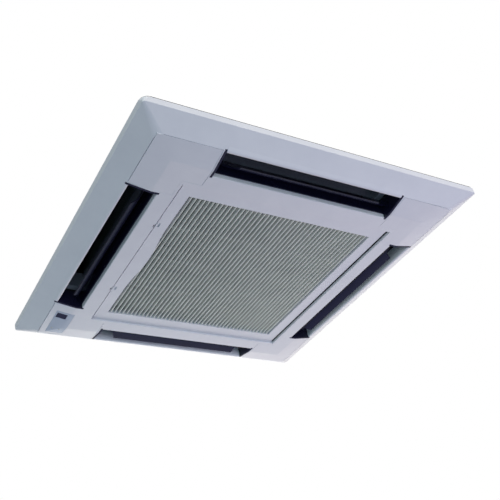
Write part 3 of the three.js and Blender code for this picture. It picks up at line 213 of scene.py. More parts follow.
# Drawn, turned or plated metal: fine scratches that run one way, and a little tarnish in patches
def workedMetal(name, values):
    material, tree, shader, place = startMaterial(name, values)
    along = addNode(tree, "ShaderNodeMapping", {"Scale": values["stretch"]}, {"Vector": place})
    scratch = addNode(tree, "ShaderNodeTexNoise", {"Scale": perMetre(values["scratch"]), "Detail": 3.0},
                      {"Vector": along.outputs[0]})
    patch = addNode(tree, "ShaderNodeTexNoise", {"Scale": perMetre(values["patch"]), "Detail": 4.0},
                    {"Vector": place})
    soft = addNode(tree, "ShaderNodeMapRange", {"From Min": 0.35, "From Max": 0.7},
                   {"Value": patch.outputs["Fac"]})
    tintBy(tree, shader, values, soft.outputs[0])
    roughnessBy(tree, shader, values, scratch.outputs["Fac"])
    bumpBy(tree, shader, values, "metal", scratch.outputs["Fac"])
    return material


# Threads or fins: two crossed sets of bands, or one
def bandedSurface(name, values):
    material, tree, shader, place = startMaterial(name, values)
    bands = []
    for direction in values["bands"]:
        wave = addNode(tree, "ShaderNodeTexWave", {
            "wave_type": "BANDS", "bands_direction": direction, "wave_profile": "SIN",
            "Scale": perMetre(values["pitch"]) * bandRepeat, "Distortion": 0.0}, {"Vector": place})
        bands.append(wave.outputs["Fac"])
    pattern = bands[0]
    if len(bands) > 1:
        joined = addNode(tree, "ShaderNodeMath", {"operation": "MAXIMUM"}, {0: bands[0], 1: bands[1]})
        pattern = joined.outputs[0]
    tintBy(tree, shader, values, pattern)
    roughnessBy(tree, shader, values, pattern)
    bumpBy(tree, shader, values, "bands", pattern)
    return material


finishes = {
    # ABS, injection moulded in a spark-eroded tool: cool white, satin, with a very soft sheen
    "white_abs": mouldedPlastic("mouldedWhiteAbs", {
        "colour": "#e4e6ed", "second": "#dfe1e9", "roughness": (0.40, 0.50), "cloud": 70, "grain": 0.9,
        "bump": 0.10, "ior": 1.53}),
    # the same plastic coloured through in pale blue-grey
    "receiver_grey": mouldedPlastic("mouldedGreyAbs", {
        "colour": "#b9c3d3", "second": "#b2bccd", "roughness": (0.42, 0.5), "cloud": 40, "grain": 0.9,
        "bump": 0.10, "ior": 1.53}),
    # ABS dyed near black with a polished tool: deep tone with soft reflections
    "dark_plastic": mouldedPlastic("polishedDarkAbs", {
        "colour": "#15152a", "second": "#1a1930", "roughness": (0.20, 0.28), "cloud": 45, "grain": 1.6,
        "bump": 0.03, "ior": 1.53}),
    # acrylic, smoked, polished: mirror-like over a dark blue depth
    "smoked_window": mouldedPlastic("smokedAcrylic", {
        "colour": "#141826", "second": "#181d2c", "roughness": (0.06, 0.1), "cloud": 20, "grain": 3.0,
        "bump": 0.01, "ior": 1.49, "coat": (0.4, 0.05)}),
    # PBT housing, moulded: warm white, matt
    "motor_white": mouldedPlastic("mouldedPbt", {
        "colour": "#d6d5cd", "second": "#cfcec5", "roughness": (0.5, 0.6), "cloud": 12, "grain": 0.8,
        "bump": 0.15}),
    # polyethylene foam, closed cell, cut from sheet: black and dull
    "black_foam": pressedFoam("cutBlackFoam", {
        "colour": "#1b1b1e", "second": "#0f0f11", "roughness": (0.85, 0.98), "cell": 2.2, "bump": 0.5}),
    # expanded polystyrene, steam moulded: white pearls of about 3.5 mm
    "white_foam": pressedFoam("steamedPolystyrene", {
        "colour": "#eceae6", "second": "#d9d7d2", "roughness": (0.7, 0.85), "cell": 3.5, "bump": 0.45}),
    # polypropylene, moulded: dark grey and a little waxy, for the frame of the filter
    "filter_grey": mouldedPlastic("mouldedPolypropylene", {
        "colour": "#585f63", "second": "#50575b", "roughness": (0.5, 0.62), "cloud": 30, "grain": 0.8,
        "bump": 0.12}),
    # ABS, moulded, for the parts inside the body: smooth pale grey, half matt
    "grey_abs": mouldedPlastic("mouldedInnerAbs", {
        "colour": "#b4b8b8", "second": "#a9adae", "roughness": (0.42, 0.55), "cloud": 50, "grain": 0.9,
        "bump": 0.12}),
    # steel sheet, hot-dip galvanised, small spangle: a patchwork of paler and darker greys, softly shiny
    "zinc_sheet": zincSheet("galvanisedSteel", {
        "colour": "#a3a9ae", "second": "#b9bdc1", "metallic": 0.85, "roughness": (0.38, 0.52), "spangle": 9,
        "bump": 0.12}),
    # aluminium fin stock, pressed: fine bright and dark lines, 1.6 mm apart in the real coil and drawn
    # 6.4 mm apart so that they show
    "fins": bandedSurface("pressedFinStock", {
        "colour": "#55585b", "second": "#c8ccd0", "metallic": 0.9, "roughness": (0.35, 0.5), "bands": ["Z"],
        "pitch": 6.4, "bump": 0.6}),
    # copper tube, drawn and annealed: salmon with brown tarnish
    "copper": workedMetal("drawnCopper", {
        "colour": "#c77f57", "second": "#8f5437", "metallic": 1.0, "roughness": (0.25, 0.42),
        "stretch": (1, 1, 6), "scratch": 1.5, "patch": 30, "bump": 0.15}),
    # brass, turned: yellow, bright, with fine rings and a brown bloom
    "brass": workedMetal("turnedBrass", {
        "colour": "#c2a35a", "second": "#a98a48", "metallic": 1.0, "roughness": (0.22, 0.36),
        "stretch": (1, 1, 8), "scratch": 1.2, "patch": 14, "bump": 0.12}),
    # steel, zinc plated: cool grey with a streaky shine
    "steel": workedMetal("platedSteel", {
        "colour": "#a8abad", "second": "#8f9396", "metallic": 1.0, "roughness": (0.28, 0.42),
        "stretch": (1, 1, 5), "scratch": 1.0, "patch": 12, "bump": 0.12}),
    # glass-fibre board, coated with a solder mask: even green, half glossy
    "board_green": mouldedPlastic("solderMaskedBoard", {
        "colour": "#24573a", "second": "#1d4a31", "roughness": (0.3, 0.42), "cloud": 5, "grain": 1.2,
        "bump": 0.2}),
    # cast and painted motor body: black, slightly pebbled
    "motor_black": mouldedPlastic("paintedMotorCan", {
        "colour": "#2b2c2f", "second": "#242528", "roughness": (0.4, 0.55), "cloud": 16, "grain": 1.4,
        "bump": 0.3}),
}

# polypropylene threads, woven into a net: a fine dull grid, 0.8 mm apart in the real filter and drawn
# 4.8 mm apart so that it shows
wovenNet = bandedSurface("wovenFilterNet", {
    "colour": "#5a625f", "second": "#8a938e", "roughness": (0.6, 0.85), "bands": ["X", "Y"], "pitch": 4.8,
    "bump": 0.5})
# polystyrene of the pan, steam moulded: pearls drawn dull grey rather than white, painted shade that keeps
# the outlets dark
panShadeFoam = pressedFoam("steamedGreyPolystyrene", {
    "colour": "#8e909c", "second": "#80828f", "roughness": (0.7, 0.85), "cell": 3.5, "bump": 0.45})
# ABS of the bars: the same white drawn a little greyer and greener, painted shade for the dim tone that light
# leaves among the bars
barShadeFinish = mouldedPlastic("dustedBarAbs", {
    "colour": "#e3e5e1", "second": "#dbddd9", "roughness": (0.5, 0.62), "cloud": 60, "grain": 0.9,
    "bump": 0.10, "ior": 1.53})
print("finishes made:", len(finishes) + 3)

# the record's material slots, each with the names or the first parts of the names of its nodes
slotNodes = {
    "white_abs": ("grille_latch",),
    "black_foam": ("ceiling_gasket", "air_seal", "insulation_liner"),
    "steel": ("panel_bolt", "hinge_pin", "motor_shaft"),
    "dark_plastic": ("outlet_liner", "louvre_vane"),
    "motor_white": ("louvre_motor",),
    "receiver_grey": ("receiver_housing",),
    "smoked_window": ("receiver_window",),
    "board_green": ("receiver_board", "control_board"),
    "grey_abs": ("manual_button", "bell_mouth", "turbo_fan", "drain_pump"),
    "filter_grey": ("filter_frame", "filter_net"),
    "zinc_sheet": ("casing_shell", "top_plate", "tube_sheet", "control_box", "suspension_bracket"),
    "white_foam": ("drain_pan", "water_float"),
    "brass": ("hub_nut", "gas_flare_nut", "liquid_flare_nut"),
    "motor_black": ("fan_motor",),
    "fins": ("heat_exchanger",),
    "copper": ("gas_pipe", "liquid_pipe"),
}


def slotFor(node):
    return next(slot for slot, starts in slotNodes.items() if node.startswith(starts))


# A finished piece takes its body and its finish, and stands for the nodes it is named with
def finishPiece(piece, body, material, stands=()):
    piece.data.materials.clear()
    piece.data.materials.append(material)
    if stands:
        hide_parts(*stands)
    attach(piece, body)


def newPiece(name, mesh):
    piece = bpy.data.objects.new(name, mesh)
    scene.collection.objects.link(piece)
    return piece


shaping = {
    "merge": 0.002, "join": 0.001,      # points closer than this are one, in millimetres
    "flat": 0.5,                        # faces that turn less than this are one, in degrees
    "smooth": 32,                       # edges that turn less than this are shaded smooth, in degrees
    "weight": 100,                      # how much the large faces outweigh the small in shading
    "level": 0.01,                      # a plate's rim is level to this, in millimetres,
    "rimTurn": 1,                       # and turns more than this, in radians
    "plateSteps": 2,                    # steps of a plate's rounded edge
}
bevelling = {"offset_type": "OFFSET", "profile": 0.5, "affect": "EDGES", "clamp_overlap": False}


def meshFrom(shape, name):
    mesh = bpy.data.meshes.new(name)
    shape.to_mesh(mesh)
    shape.free()
    return mesh


# The plain mesh that an object's modifiers give
def modifiedMesh(piece):
    return bpy.data.meshes.new_from_object(piece.evaluated_get(bpy.context.evaluated_depsgraph_get()))


def smoothByAngle(mesh):
    for face in mesh.polygons:
        face.use_smooth = True
    mesh.set_sharp_from_angle(angle=math.radians(shaping["smooth"]))


# Flat faces keep flat shading and only the rounded edges between them turn
def weighNormals(piece):
    modifier = piece.modifiers.new("weigh", "WEIGHTED_NORMAL")
    modifier.keep_sharp = True
    modifier.weight = shaping["weight"]
    mesh = modifiedMesh(piece)
    piece.modifiers.clear()
    old, piece.data = piece.data, mesh
    mesh.name = piece.name
    bpy.data.meshes.remove(old)
    return piece


# A merged copy of a node with its edges rounded, one group after another. A group gives the radius, the
# number of steps, the least angle and least length of an edge that gets it, and a test that picks edges.
# The fit moves single points first, by less than a millimetre.
def roundedCopy(name, node, groups, fit=None):
    shape = bmesh.new()
    shape.from_mesh(nodes[node].data)
    bmesh.ops.remove_doubles(shape, verts=shape.verts, dist=mm(shaping["merge"]))
    for vert in shape.verts if fit else []:
        vert.co = fit(vert.co)
    # flat faces are joined only where edges get rounded, because a joined ring loses its hole
    if any(group[0] for group in groups):
        bmesh.ops.dissolve_limit(shape, angle_limit=math.radians(shaping["flat"]), verts=shape.verts,
                                 edges=shape.edges)
    for radius, steps, least, shortest, test in groups:
        picked = [e for e in shape.edges if len(e.link_faces) == 2
                  and e.calc_face_angle(0) > math.radians(least)
                  and e.calc_length() > mm(shortest) and (not test or test(e))]
        if picked and radius:
            bmesh.ops.bevel(shape, geom=picked, offset=mm(radius), segments=steps, **bevelling)
    mesh = meshFrom(shape, name)
    smoothByAngle(mesh)
    return weighNormals(newPiece(name, mesh))


filledWithHoles = 5     # what the triangulation gives back: faces, with the holes left open
nearEnough = 1e-4


# A flat plate with rounded edges, from closed outlines in millimetres. An outline inside another is a hole.
def plateMesh(outlines, low, high, edge):
    points, loops = [], []
    for outline in outlines:
        loops.append(list(range(len(points), len(points) + len(outline))))
        points += [Vector(p) for p in outline]
    flat = delaunay_2d_cdt(points, [], loops, filledWithHoles, nearEnough)
    shape = bmesh.new()
    verts = [shape.verts.new((mm(p.x), mm(p.y), mm(low))) for p in flat[0]]
    for face in flat[2]:
        shape.faces.new([verts[i] for i in face])
    grown = bmesh.ops.extrude_face_region(shape, geom=shape.faces[:])["geom"]
    for item in grown:
        if isinstance(item, bmesh.types.BMVert):
            item.co.z = mm(high)
    bmesh.ops.recalc_face_normals(shape, faces=shape.faces)
    if edge:
        rims = [e for e in shape.edges if abs(e.verts[0].co.z - e.verts[1].co.z) < mm(shaping["level"])
                and len(e.link_faces) == 2 and e.calc_face_angle(0) > shaping["rimTurn"]]
        bmesh.ops.bevel(shape, geom=rims, offset=mm(edge), segments=shaping["plateSteps"], **bevelling)
    return meshFrom(shape, "plate")


def joinMeshes(name, meshes):
    shape = bmesh.new()
    for mesh in meshes:
        shape.from_mesh(mesh)
    bmesh.ops.remove_doubles(shape, verts=shape.verts, dist=mm(shaping["join"]))
    joined = meshFrom(shape, name)
    smoothByAngle(joined)
    return joined


def rectangle(x0, x1, y0, y1):
    return [(x0, y0), (x1, y0), (x1, y1), (x0, y1)]


# An empty tree with its inputs: a count, lengths in metres, and a finish
def startTree(name, lengths):
    tree = bpy.data.node_groups.new(name, "GeometryNodeTree")
    tree.is_modifier = True
    for label, kind in (("Count", "Int"), *((length, "Float") for length in lengths), ("Finish", "Material")):
        tree.interface.new_socket(label, in_out="INPUT", socket_type="NodeSocket" + kind)
    tree.interface.new_socket("Geometry", in_out="OUTPUT", socket_type="NodeSocketGeometry")
    return tree, addNode(tree, "NodeGroupInput").outputs


def endTree(tree, geometry, finish):
    real = addNode(tree, "GeometryNodeRealizeInstances", links={0: geometry})
    painted = addNode(tree, "GeometryNodeSetMaterial",
                      links={"Geometry": real.outputs[0], "Material": finish})
    addNode(tree, "NodeGroupOutput", links={0: painted.outputs[0]})


# Runs a tree on an empty mesh and returns the plain mesh that it makes
def grow(tree, values):
    holder = bpy.data.objects.new("growing", bpy.data.meshes.new("growing"))
    scene.collection.objects.link(holder)
    modifier = holder.modifiers.new("grow", "NODES")
    modifier.node_group = tree
    for item in tree.interface.items_tree:
        if item.item_type == "SOCKET" and item.in_out == "INPUT" and item.name in values:
            modifier[item.identifier] = values[item.name]
    holder.update_tag()
    mesh = modifiedMesh(holder)
    holder.modifiers.clear()
    bpy.data.objects.remove(holder)
    return mesh


# Points in a row along X with its middle at X = 0, at the height given
def rowOfPoints(tree, given, height=None):
    gaps = addNode(tree, "ShaderNodeMath", {"operation": "SUBTRACT", 1: 1.0}, {0: given["Count"]})
    reach = addNode(tree, "ShaderNodeMath", {"operation": "MULTIPLY"},
                    {0: gaps.outputs[0], 1: given["Pitch"]})
    begin = addNode(tree, "ShaderNodeMath", {"operation": "MULTIPLY", 1: -0.5}, {0: reach.outputs[0]})
    place = addNode(tree, "ShaderNodeCombineXYZ", links={"X": begin.outputs[0],
                                                         **({"Z": height} if height else {})})
    step = addNode(tree, "ShaderNodeCombineXYZ", links={"X": given["Pitch"]})
    row = addNode(tree, "GeometryNodeMeshLine", {"mode": "OFFSET"},
                  {"Count": given["Count"], "Start Location": place.outputs[0], "Offset": step.outputs[0]})
    return row.outputs[0]


# A straight path along Y with its middle at Y = 0, and half its length
def centredPath(tree, given):
    half = addNode(tree, "ShaderNodeMath", {"operation": "MULTIPLY", 1: 0.5}, {0: given["Length"]})
    back = addNode(tree, "ShaderNodeMath", {"operation": "MULTIPLY", 1: -0.5}, {0: given["Length"]})
    first = addNode(tree, "ShaderNodeCombineXYZ", links={"Y": back.outputs[0]})
    last = addNode(tree, "ShaderNodeCombineXYZ", links={"Y": half.outputs[0]})
    path = addNode(tree, "GeometryNodeCurvePrimitiveLine",
                   links={"Start": first.outputs[0], "End": last.outputs[0]})
    return path.outputs[0], half.outputs[0]


# Bars of one section, side by side: the section is drawn in the XZ plane and runs along Y
def barTree():
    tree, given = startTree("grilleBars",
                            ("Pitch", "Width", "Depth", "Length", "Nose Radius", "Middle Height"))
    section = addNode(tree, "GeometryNodeCurvePrimitiveQuadrilateral",
                      links={"Width": given["Width"], "Height": given["Depth"]})
    nose = addNode(tree, "GeometryNodeFilletCurve", {"mode": "POLY", "Count": 3},
                   {"Curve": section.outputs[0], "Radius": given["Nose Radius"]})
    bar = addNode(tree, "GeometryNodeCurveToMesh", {"Fill Caps": True},
                  {"Curve": centredPath(tree, given)[0], "Profile Curve": nose.outputs[0]})
    bars = addNode(tree, "GeometryNodeInstanceOnPoints", links={
        "Points": rowOfPoints(tree, given, given["Middle Height"]), "Instance": bar.outputs[0]})
    smooth = addNode(tree, "GeometryNodeSetShadeSmooth", links={"Geometry": bars.outputs[0]})
    endTree(tree, smooth.outputs[0], given["Finish"])
    return tree


# one screw, in millimetres: number of sides, then thickness, and how far up the middle of each part lies
screwShape = {
    "washerSides": 18, "washer": 1.0, "washerMiddle": 0.5,
    "headSides": 6, "head": 2.0, "headMiddle": 1.6,
    "crown": 0.7, "crownTop": 2.6, "crownFoot": 2.6,
}
# blunt is just over 1, so that the tip of a bead never closes to a point
beadShape = {"spinePoints": 49, "ringPoints": 14, "blunt": 1.002}


# A row of sheet metal screws that stand up along Z: washer, hexagon head and a low crown
def screwTree():
    tree, given = startTree("casingScrews", ("Pitch", "Head Radius", "Washer Radius"))
    washer = addNode(tree, "GeometryNodeMeshCylinder",
                     {"Vertices": screwShape["washerSides"], "Depth": mm(screwShape["washer"])},
                     {"Radius": given["Washer Radius"]})
    head = addNode(tree, "GeometryNodeMeshCylinder",
                   {"Vertices": screwShape["headSides"], "Depth": mm(screwShape["head"])},
                   {"Radius": given["Head Radius"]})
    crown = addNode(tree, "GeometryNodeMeshCone", {
        "Vertices": screwShape["headSides"], "Radius Top": mm(screwShape["crownTop"]),
        "Depth": mm(screwShape["crown"])}, {"Radius Bottom": given["Head Radius"]})
    screw = addNode(tree, "GeometryNodeJoinGeometry")
    for part, height in ((washer, screwShape["washerMiddle"]), (head, screwShape["headMiddle"]),
                         (crown, screwShape["crownFoot"])):
        lifted = addNode(tree, "GeometryNodeTransform", {"Translation": (0, 0, mm(height))},
                         {"Geometry": part.outputs[0]})
        tree.links.new(lifted.outputs[0], screw.inputs[0])
    row = addNode(tree, "GeometryNodeInstanceOnPoints",
                  links={"Points": rowOfPoints(tree, given), "Instance": screw.outputs[0]})
    endTree(tree, row.outputs[0], given["Finish"])
    return tree


# A row of beads pressed into sheet: long, round-ended swellings that run along Y and stand half out of it
def beadTree():
    tree, given = startTree("pressedBeads", ("Pitch", "Length", "Width", "Height"))
    path, half = centredPath(tree, given)
    spine = addNode(tree, "GeometryNodeResampleCurve", {"Count": beadShape["spinePoints"]}, {"Curve": path})
    # a half circle at each end: 1 along the middle, and the root of 1 - x squared from there to the tip
    across = addNode(tree, "ShaderNodeMath", {"operation": "MULTIPLY", 1: 0.5}, {0: given["Width"]})
    straight = addNode(tree, "ShaderNodeMath", {"operation": "SUBTRACT"},
                       {0: half, 1: across.outputs[0]})
    place = addNode(tree, "GeometryNodeInputPosition")
    along = addNode(tree, "ShaderNodeSeparateXYZ", links={0: place.outputs[0]})
    away = addNode(tree, "ShaderNodeMath", {"operation": "ABSOLUTE"}, {0: along.outputs["Y"]})
    past = addNode(tree, "ShaderNodeMath", {"operation": "SUBTRACT"},
                   {0: away.outputs[0], 1: straight.outputs[0]})
    ending = addNode(tree, "ShaderNodeMath", {"operation": "MAXIMUM", 1: 0.0}, {0: past.outputs[0]})
    share = addNode(tree, "ShaderNodeMath", {"operation": "DIVIDE"},
                    {0: ending.outputs[0], 1: across.outputs[0]})
    square = addNode(tree, "ShaderNodeMath", {"operation": "POWER", 1: 2.0}, {0: share.outputs[0]})
    left = addNode(tree, "ShaderNodeMath", {"operation": "SUBTRACT", 0: beadShape["blunt"]},
                   {1: square.outputs[0]})
    taper = addNode(tree, "ShaderNodeMath", {"operation": "SQRT"}, {0: left.outputs[0]})
    ring = addNode(tree, "GeometryNodeCurvePrimitiveCircle",
                   {"Resolution": beadShape["ringPoints"], "Radius": 1.0})
    size = addNode(tree, "ShaderNodeCombineXYZ", {"Z": 1.0}, {"X": across.outputs[0], "Y": given["Height"]})
    section = addNode(tree, "GeometryNodeTransform",
                      links={"Geometry": ring.outputs[0], "Scale": size.outputs[0]})
    bead = addNode(tree, "GeometryNodeCurveToMesh", {"Fill Caps": True},
                   {"Curve": spine.outputs[0], "Profile Curve": section.outputs[0],
                    "Scale": taper.outputs[0]})
    row = addNode(tree, "GeometryNodeInstanceOnPoints",
                  links={"Points": rowOfPoints(tree, given), "Instance": bead.outputs[0]})
    endTree(tree, row.outputs[0], given["Finish"])
    return tree


# rounded edges: radius in millimetres, steps, and the least angle and length of an edge that gets them
panel = {
    "mitreEdge": (14, 5, 20, 20),       # where two slopes meet at a corner
    "rimEdge": (2.2, 4, 5, 6),          # round the foot of the rim
    "slotEdge": (2.0, 4, 35, 100),      # inner lip of an outlet
    "mouldedEdge": (0.5, 2, 35, 6),     # every other outer edge
    "coverMitreEdge": (9, 4, 5, 20), "coverCreaseEdge": (2.5, 4, 5, 6), "coverEdge": (0.4, 2, 35, 6),
    # section of the panel: [out, down] from the middle of the ceiling plane
    "rim": (471, 15), "shoulder": (420, 44.5), "flat": (363, 55), "slotInner": 346, "depth": 55,
    "outside": (475, 3), "creaseFrom": 362,
    # how near to its line a point has to lie
    "creaseNear": 0.4, "coverCreaseNear": 0.2, "skinNear": 1.0, "mitreNear": 0.6, "slotNear": 0.3,
}


def reachOf(vert):
    return toMm(max(abs(vert.co.x), abs(vert.co.y)))


def liesOnCrease(edge, crease, tolerance):
    out, depth = crease
    return all(abs(toMm(v.co.z) + depth) < tolerance and reachOf(v) < out + tolerance for v in edge.verts)


# Depth of the panel's outer surface at a distance out from the middle, in millimetres
def skinDepth(out):
    line = [(0, panel["depth"]), panel["flat"], panel["shoulder"], panel["rim"], panel["outside"]]
    for (x0, z0), (x1, z1) in zip(line, line[1:]):
        if out <= x1:
            return z0 + (z1 - z0) * (out - x0) / (x1 - x0)
    return 0


def onSkin(edge):
    return all(abs(toMm(v.co.z) + skinDepth(reachOf(v))) < panel["skinNear"] for v in edge.verts)


# The soft line that runs down a corner where two slopes meet
def onMitre(edge):
    return onSkin(edge) and all(abs(abs(v.co.x) - abs(v.co.y)) < mm(panel["mitreNear"]) for v in edge.verts)


def onSlotLip(edge):
    return all(abs(v.co.z + mm(panel["depth"])) < mm(panel["slotNear"])
               and abs(reachOf(v) - panel["slotInner"]) < panel["creaseNear"] for v in edge.verts)


# The covers close up against the panel at their inner edges, where no line shows, and stand off a little
# more along the left and right slopes, where a dark one does
coverFit = {"x": {312: 311.2, 420: 419.3}, "y": {312: 311.2, 260: 259.2}, "near": 0.05}


def fitCover(place):
    moved = [toMm(c) for c in place]
    for k, axis in enumerate("xy"):
        for old, new in coverFit[axis].items():
            if abs(abs(moved[k]) - old) < coverFit["near"]:
                moved[k] = math.copysign(new, moved[k])
    return Vector([mm(c) for c in moved])


def dressPanel(values):
    p = values
    frameCopy = roundedCopy("panelFrameMoulding", "panel_frame", [
        (*p["mitreEdge"], onMitre), (*p["rimEdge"], lambda e: liesOnCrease(e, p["rim"], p["creaseNear"])),
        (*p["slotEdge"], onSlotLip), (*p["mouldedEdge"], onSkin)])
    finishPiece(frameCopy, "unit", finishes["white_abs"], ["panel_frame"])
    for corner in range(1, 5):
        cover = roundedCopy(f"cornerCoverMoulding{corner}", f"corner_cover_{corner}", [
            (*p["coverMitreEdge"], onMitre),
            (*p["coverCreaseEdge"], lambda e: liesOnCrease(e, p["flat"], p["coverCreaseNear"])
             and all(reachOf(v) > p["creaseFrom"] for v in e.verts)),
            (*p["coverEdge"], onSkin)], fitCover)
        finishPiece(cover, "unit", finishes["white_abs"], [f"corner_cover_{corner}"])


# Rounded outer lip of an outlet: a curve from the steep slope, past the mouth's edge and up the wall of the
# slot, as [out, up] points in millimetres
outletLip = {
    "slope": (430, -38.7), "bulge": (418, -47.5), "turn": (412.5, -50), "inside": (412.5, -28),
    "wallTop": (415.6, -8), "backTop": (418.6, -8), "backFoot": (421.5, -40), "halfLength": 249.7,
    "steps": 12,
}


def lipSection(values):
    corners = [values[k] for k in ("slope", "bulge", "turn", "inside")]
    points = []
    for i in range(values["steps"] + 1):
        t = i / values["steps"]
        weights = ((1 - t) ** 3, 3 * t * (1 - t) ** 2, 3 * t * t * (1 - t), t ** 3)
        points.append(tuple(sum(w * c[k] for w, c in zip(weights, corners)) for k in (0, 1)))
    return points + [values["wallTop"], values["backTop"], values["backFoot"]]


# A closed bar along one side of the panel, from its section
def sideBar(section, half):
    shape = bmesh.new()
    rings = [[shape.verts.new((mm(x), mm(-out), mm(up))) for out, up in section] for x in (-half, half)]
    count = len(section)
    for i in range(count):
        j = (i + 1) % count
        shape.faces.new((rings[0][i], rings[0][j], rings[1][j], rings[1][i]))
    for ring in rings:
        shape.faces.new(ring)
    bmesh.ops.recalc_face_normals(shape, faces=shape.faces)
    mesh = meshFrom(shape, "sideBar")
    smoothByAngle(mesh)
    return mesh


def dressOutlets(values):
    for side in range(4):
        mesh = sideBar(lipSection(values), values["halfLength"])
        mesh.transform(Matrix.Rotation(side * math.pi / 2, 4, "Z"))
        mesh.name = f"outletLip{side + 1}"
        finishPiece(weighNormals(newPiece(mesh.name, mesh)), "unit", finishes["white_abs"])


# Strip of black foam on the wall of the well behind the hinges, painted shade: a dark strip that stands in
# for the shadow deep in the gap and shows as a dark line beside the grille
hingeShadeStrip = {"x": (304.6, 306.0), "halfY": 298, "low": -47.6, "high": -37, "edge": 0.5}


def dressHingeShadeStrip(values):
    outline = rectangle(*values["x"], -values["halfY"], values["halfY"])
    piece = newPiece("hingeSideSeal", plateMesh([outline], values["low"], values["high"], values["edge"]))
    smoothByAngle(piece.data)
    finishPiece(piece, "unit", finishes["black_foam"])


dressPanel(panel)
dressOutlets(outletLip)
dressHingeShadeStrip(hingeShadeStrip)
print("panel dressed")


# The grille in millimetres: border plate, wall round it, field of the bars and the collar round that,
# bars and the ribs behind them, room for the latches, ears for the hinge pins. A sink is how far one piece
# runs into the next.
grille = {
    "halfX": 298, "halfY": 298.5, "face": -50, "plate": 3, "edge": 0.7,
    "wall": 2.5, "wallTop": -36, "wallStep": 8, "wallSink": 0.3, "wallInset": 0.05, "wallEdge": 0.4,
    "fieldX": 267, "fieldY": 261, "bow": 10, "bowHalf": 135, "bowSteps": 24,
    "collar": 2, "collarTop": -35, "collarStep": 1.5, "collarGap": 0.1, "collarEdge": 0.3,
    "barPitch": 12, "barCount": 44, "barWidth": 3.2, "barLow": -48.5, "barHigh": -38, "nose": 1.2,
    "barSink": 2,
    "ribPitch": 130, "ribCount": 3, "ribWidth": 3, "ribLow": -37.7, "ribHigh": -35, "ribNose": 0.5,
    "latchY": 142, "latchHalf": 7.5, "latchDepth": 9.5,
    "lugX": 289, "lugZ": -42, "lugY": 171.5, "lugRadius": 4, "lugWidth": 3, "lugGap": 2, "pin": 2.3,
    "lugNotch": 3, "lugSink": 0.5, "lugEdge": 0.3, "lugSteps": 12, "pinSteps": 20,
}


def fieldOutline(values):
    x, y = values["fieldX"], values["fieldY"]
    points = [(-x, y), (x, y), (x, -y), (-x, -y)]
    for i in range(values["bowSteps"] + 1):
        along = -1 + 2 * i / values["bowSteps"]
        points.append((-x + values["bow"] * math.cos(along * math.pi / 2) ** 2, along * values["bowHalf"]))
    return points


def borderOutline(values):
    x, y = values["halfX"], values["halfY"]
    points = [(x, -y), (x, y), (-x, y)]
    for side in (1, -1):
        middle = side * values["latchY"]
        near, far = middle + values["latchHalf"], middle - values["latchHalf"]
        inside = -x + values["latchDepth"]
        points += [(-x, near), (inside, near), (inside, far), (-x, far)]
    return points + [(-x, -y)]


# The upright wall round the grille, open for the arms of the panel's hinges and, low down, for the latches
def wallOutlines(values, latchGaps):
    g = values
    x, y = g["halfX"] - g["wallInset"], g["halfY"] - g["wallInset"]
    wx, wy = g["halfX"] - g["wall"], g["halfY"] - g["wall"]
    low, high = g["lugY"] - g["lugNotch"], g["lugY"] + g["lugNotch"]
    right = rectangle(wx, x, -low, low)
    if not latchGaps:
        return [right, [(x, -high), (x, -y), (-x, -y), (-x, y), (x, y), (x, high),
                        (wx, high), (wx, wy), (-wx, wy), (-wx, -wy), (wx, -wy), (wx, -high)]]
    near, far = g["latchY"] - g["latchHalf"], g["latchY"] + g["latchHalf"]
    ends = [[(x, s * high), (x, s * y), (-x, s * y), (-x, s * far),
             (-wx, s * far), (-wx, s * wy), (wx, s * wy), (wx, s * high)] for s in (1, -1)]
    return [right, rectangle(-x, -wx, -near, near)] + ends


# An upright ear with a round top and a hole for the hinge pin, standing on the back of the plate
def lugMesh(values, y0):
    r = values["lugRadius"]
    foot = values["face"] + values["plate"] - values["lugSink"] - values["lugZ"]
    steps, pinSteps = values["lugSteps"], values["pinSteps"]
    arc = [(r * math.cos(a), r * math.sin(a)) for a in (math.pi * i / steps for i in range(steps + 1))]
    hole = [(values["pin"] * math.cos(a), values["pin"] * math.sin(a))
            for a in (-2 * math.pi * i / pinSteps for i in range(pinSteps))]
    mesh = plateMesh([[(-r, foot), (r, foot)] + arc, hole], -values["lugWidth"] / 2, values["lugWidth"] / 2,
                     values["lugEdge"])
    middle = (mm(values["lugX"]), mm(y0 + values["lugWidth"] / 2), mm(values["lugZ"]))
    mesh.transform(Matrix.Translation(middle) @ Matrix.Rotation(math.pi / 2, 4, "X"))
    return mesh


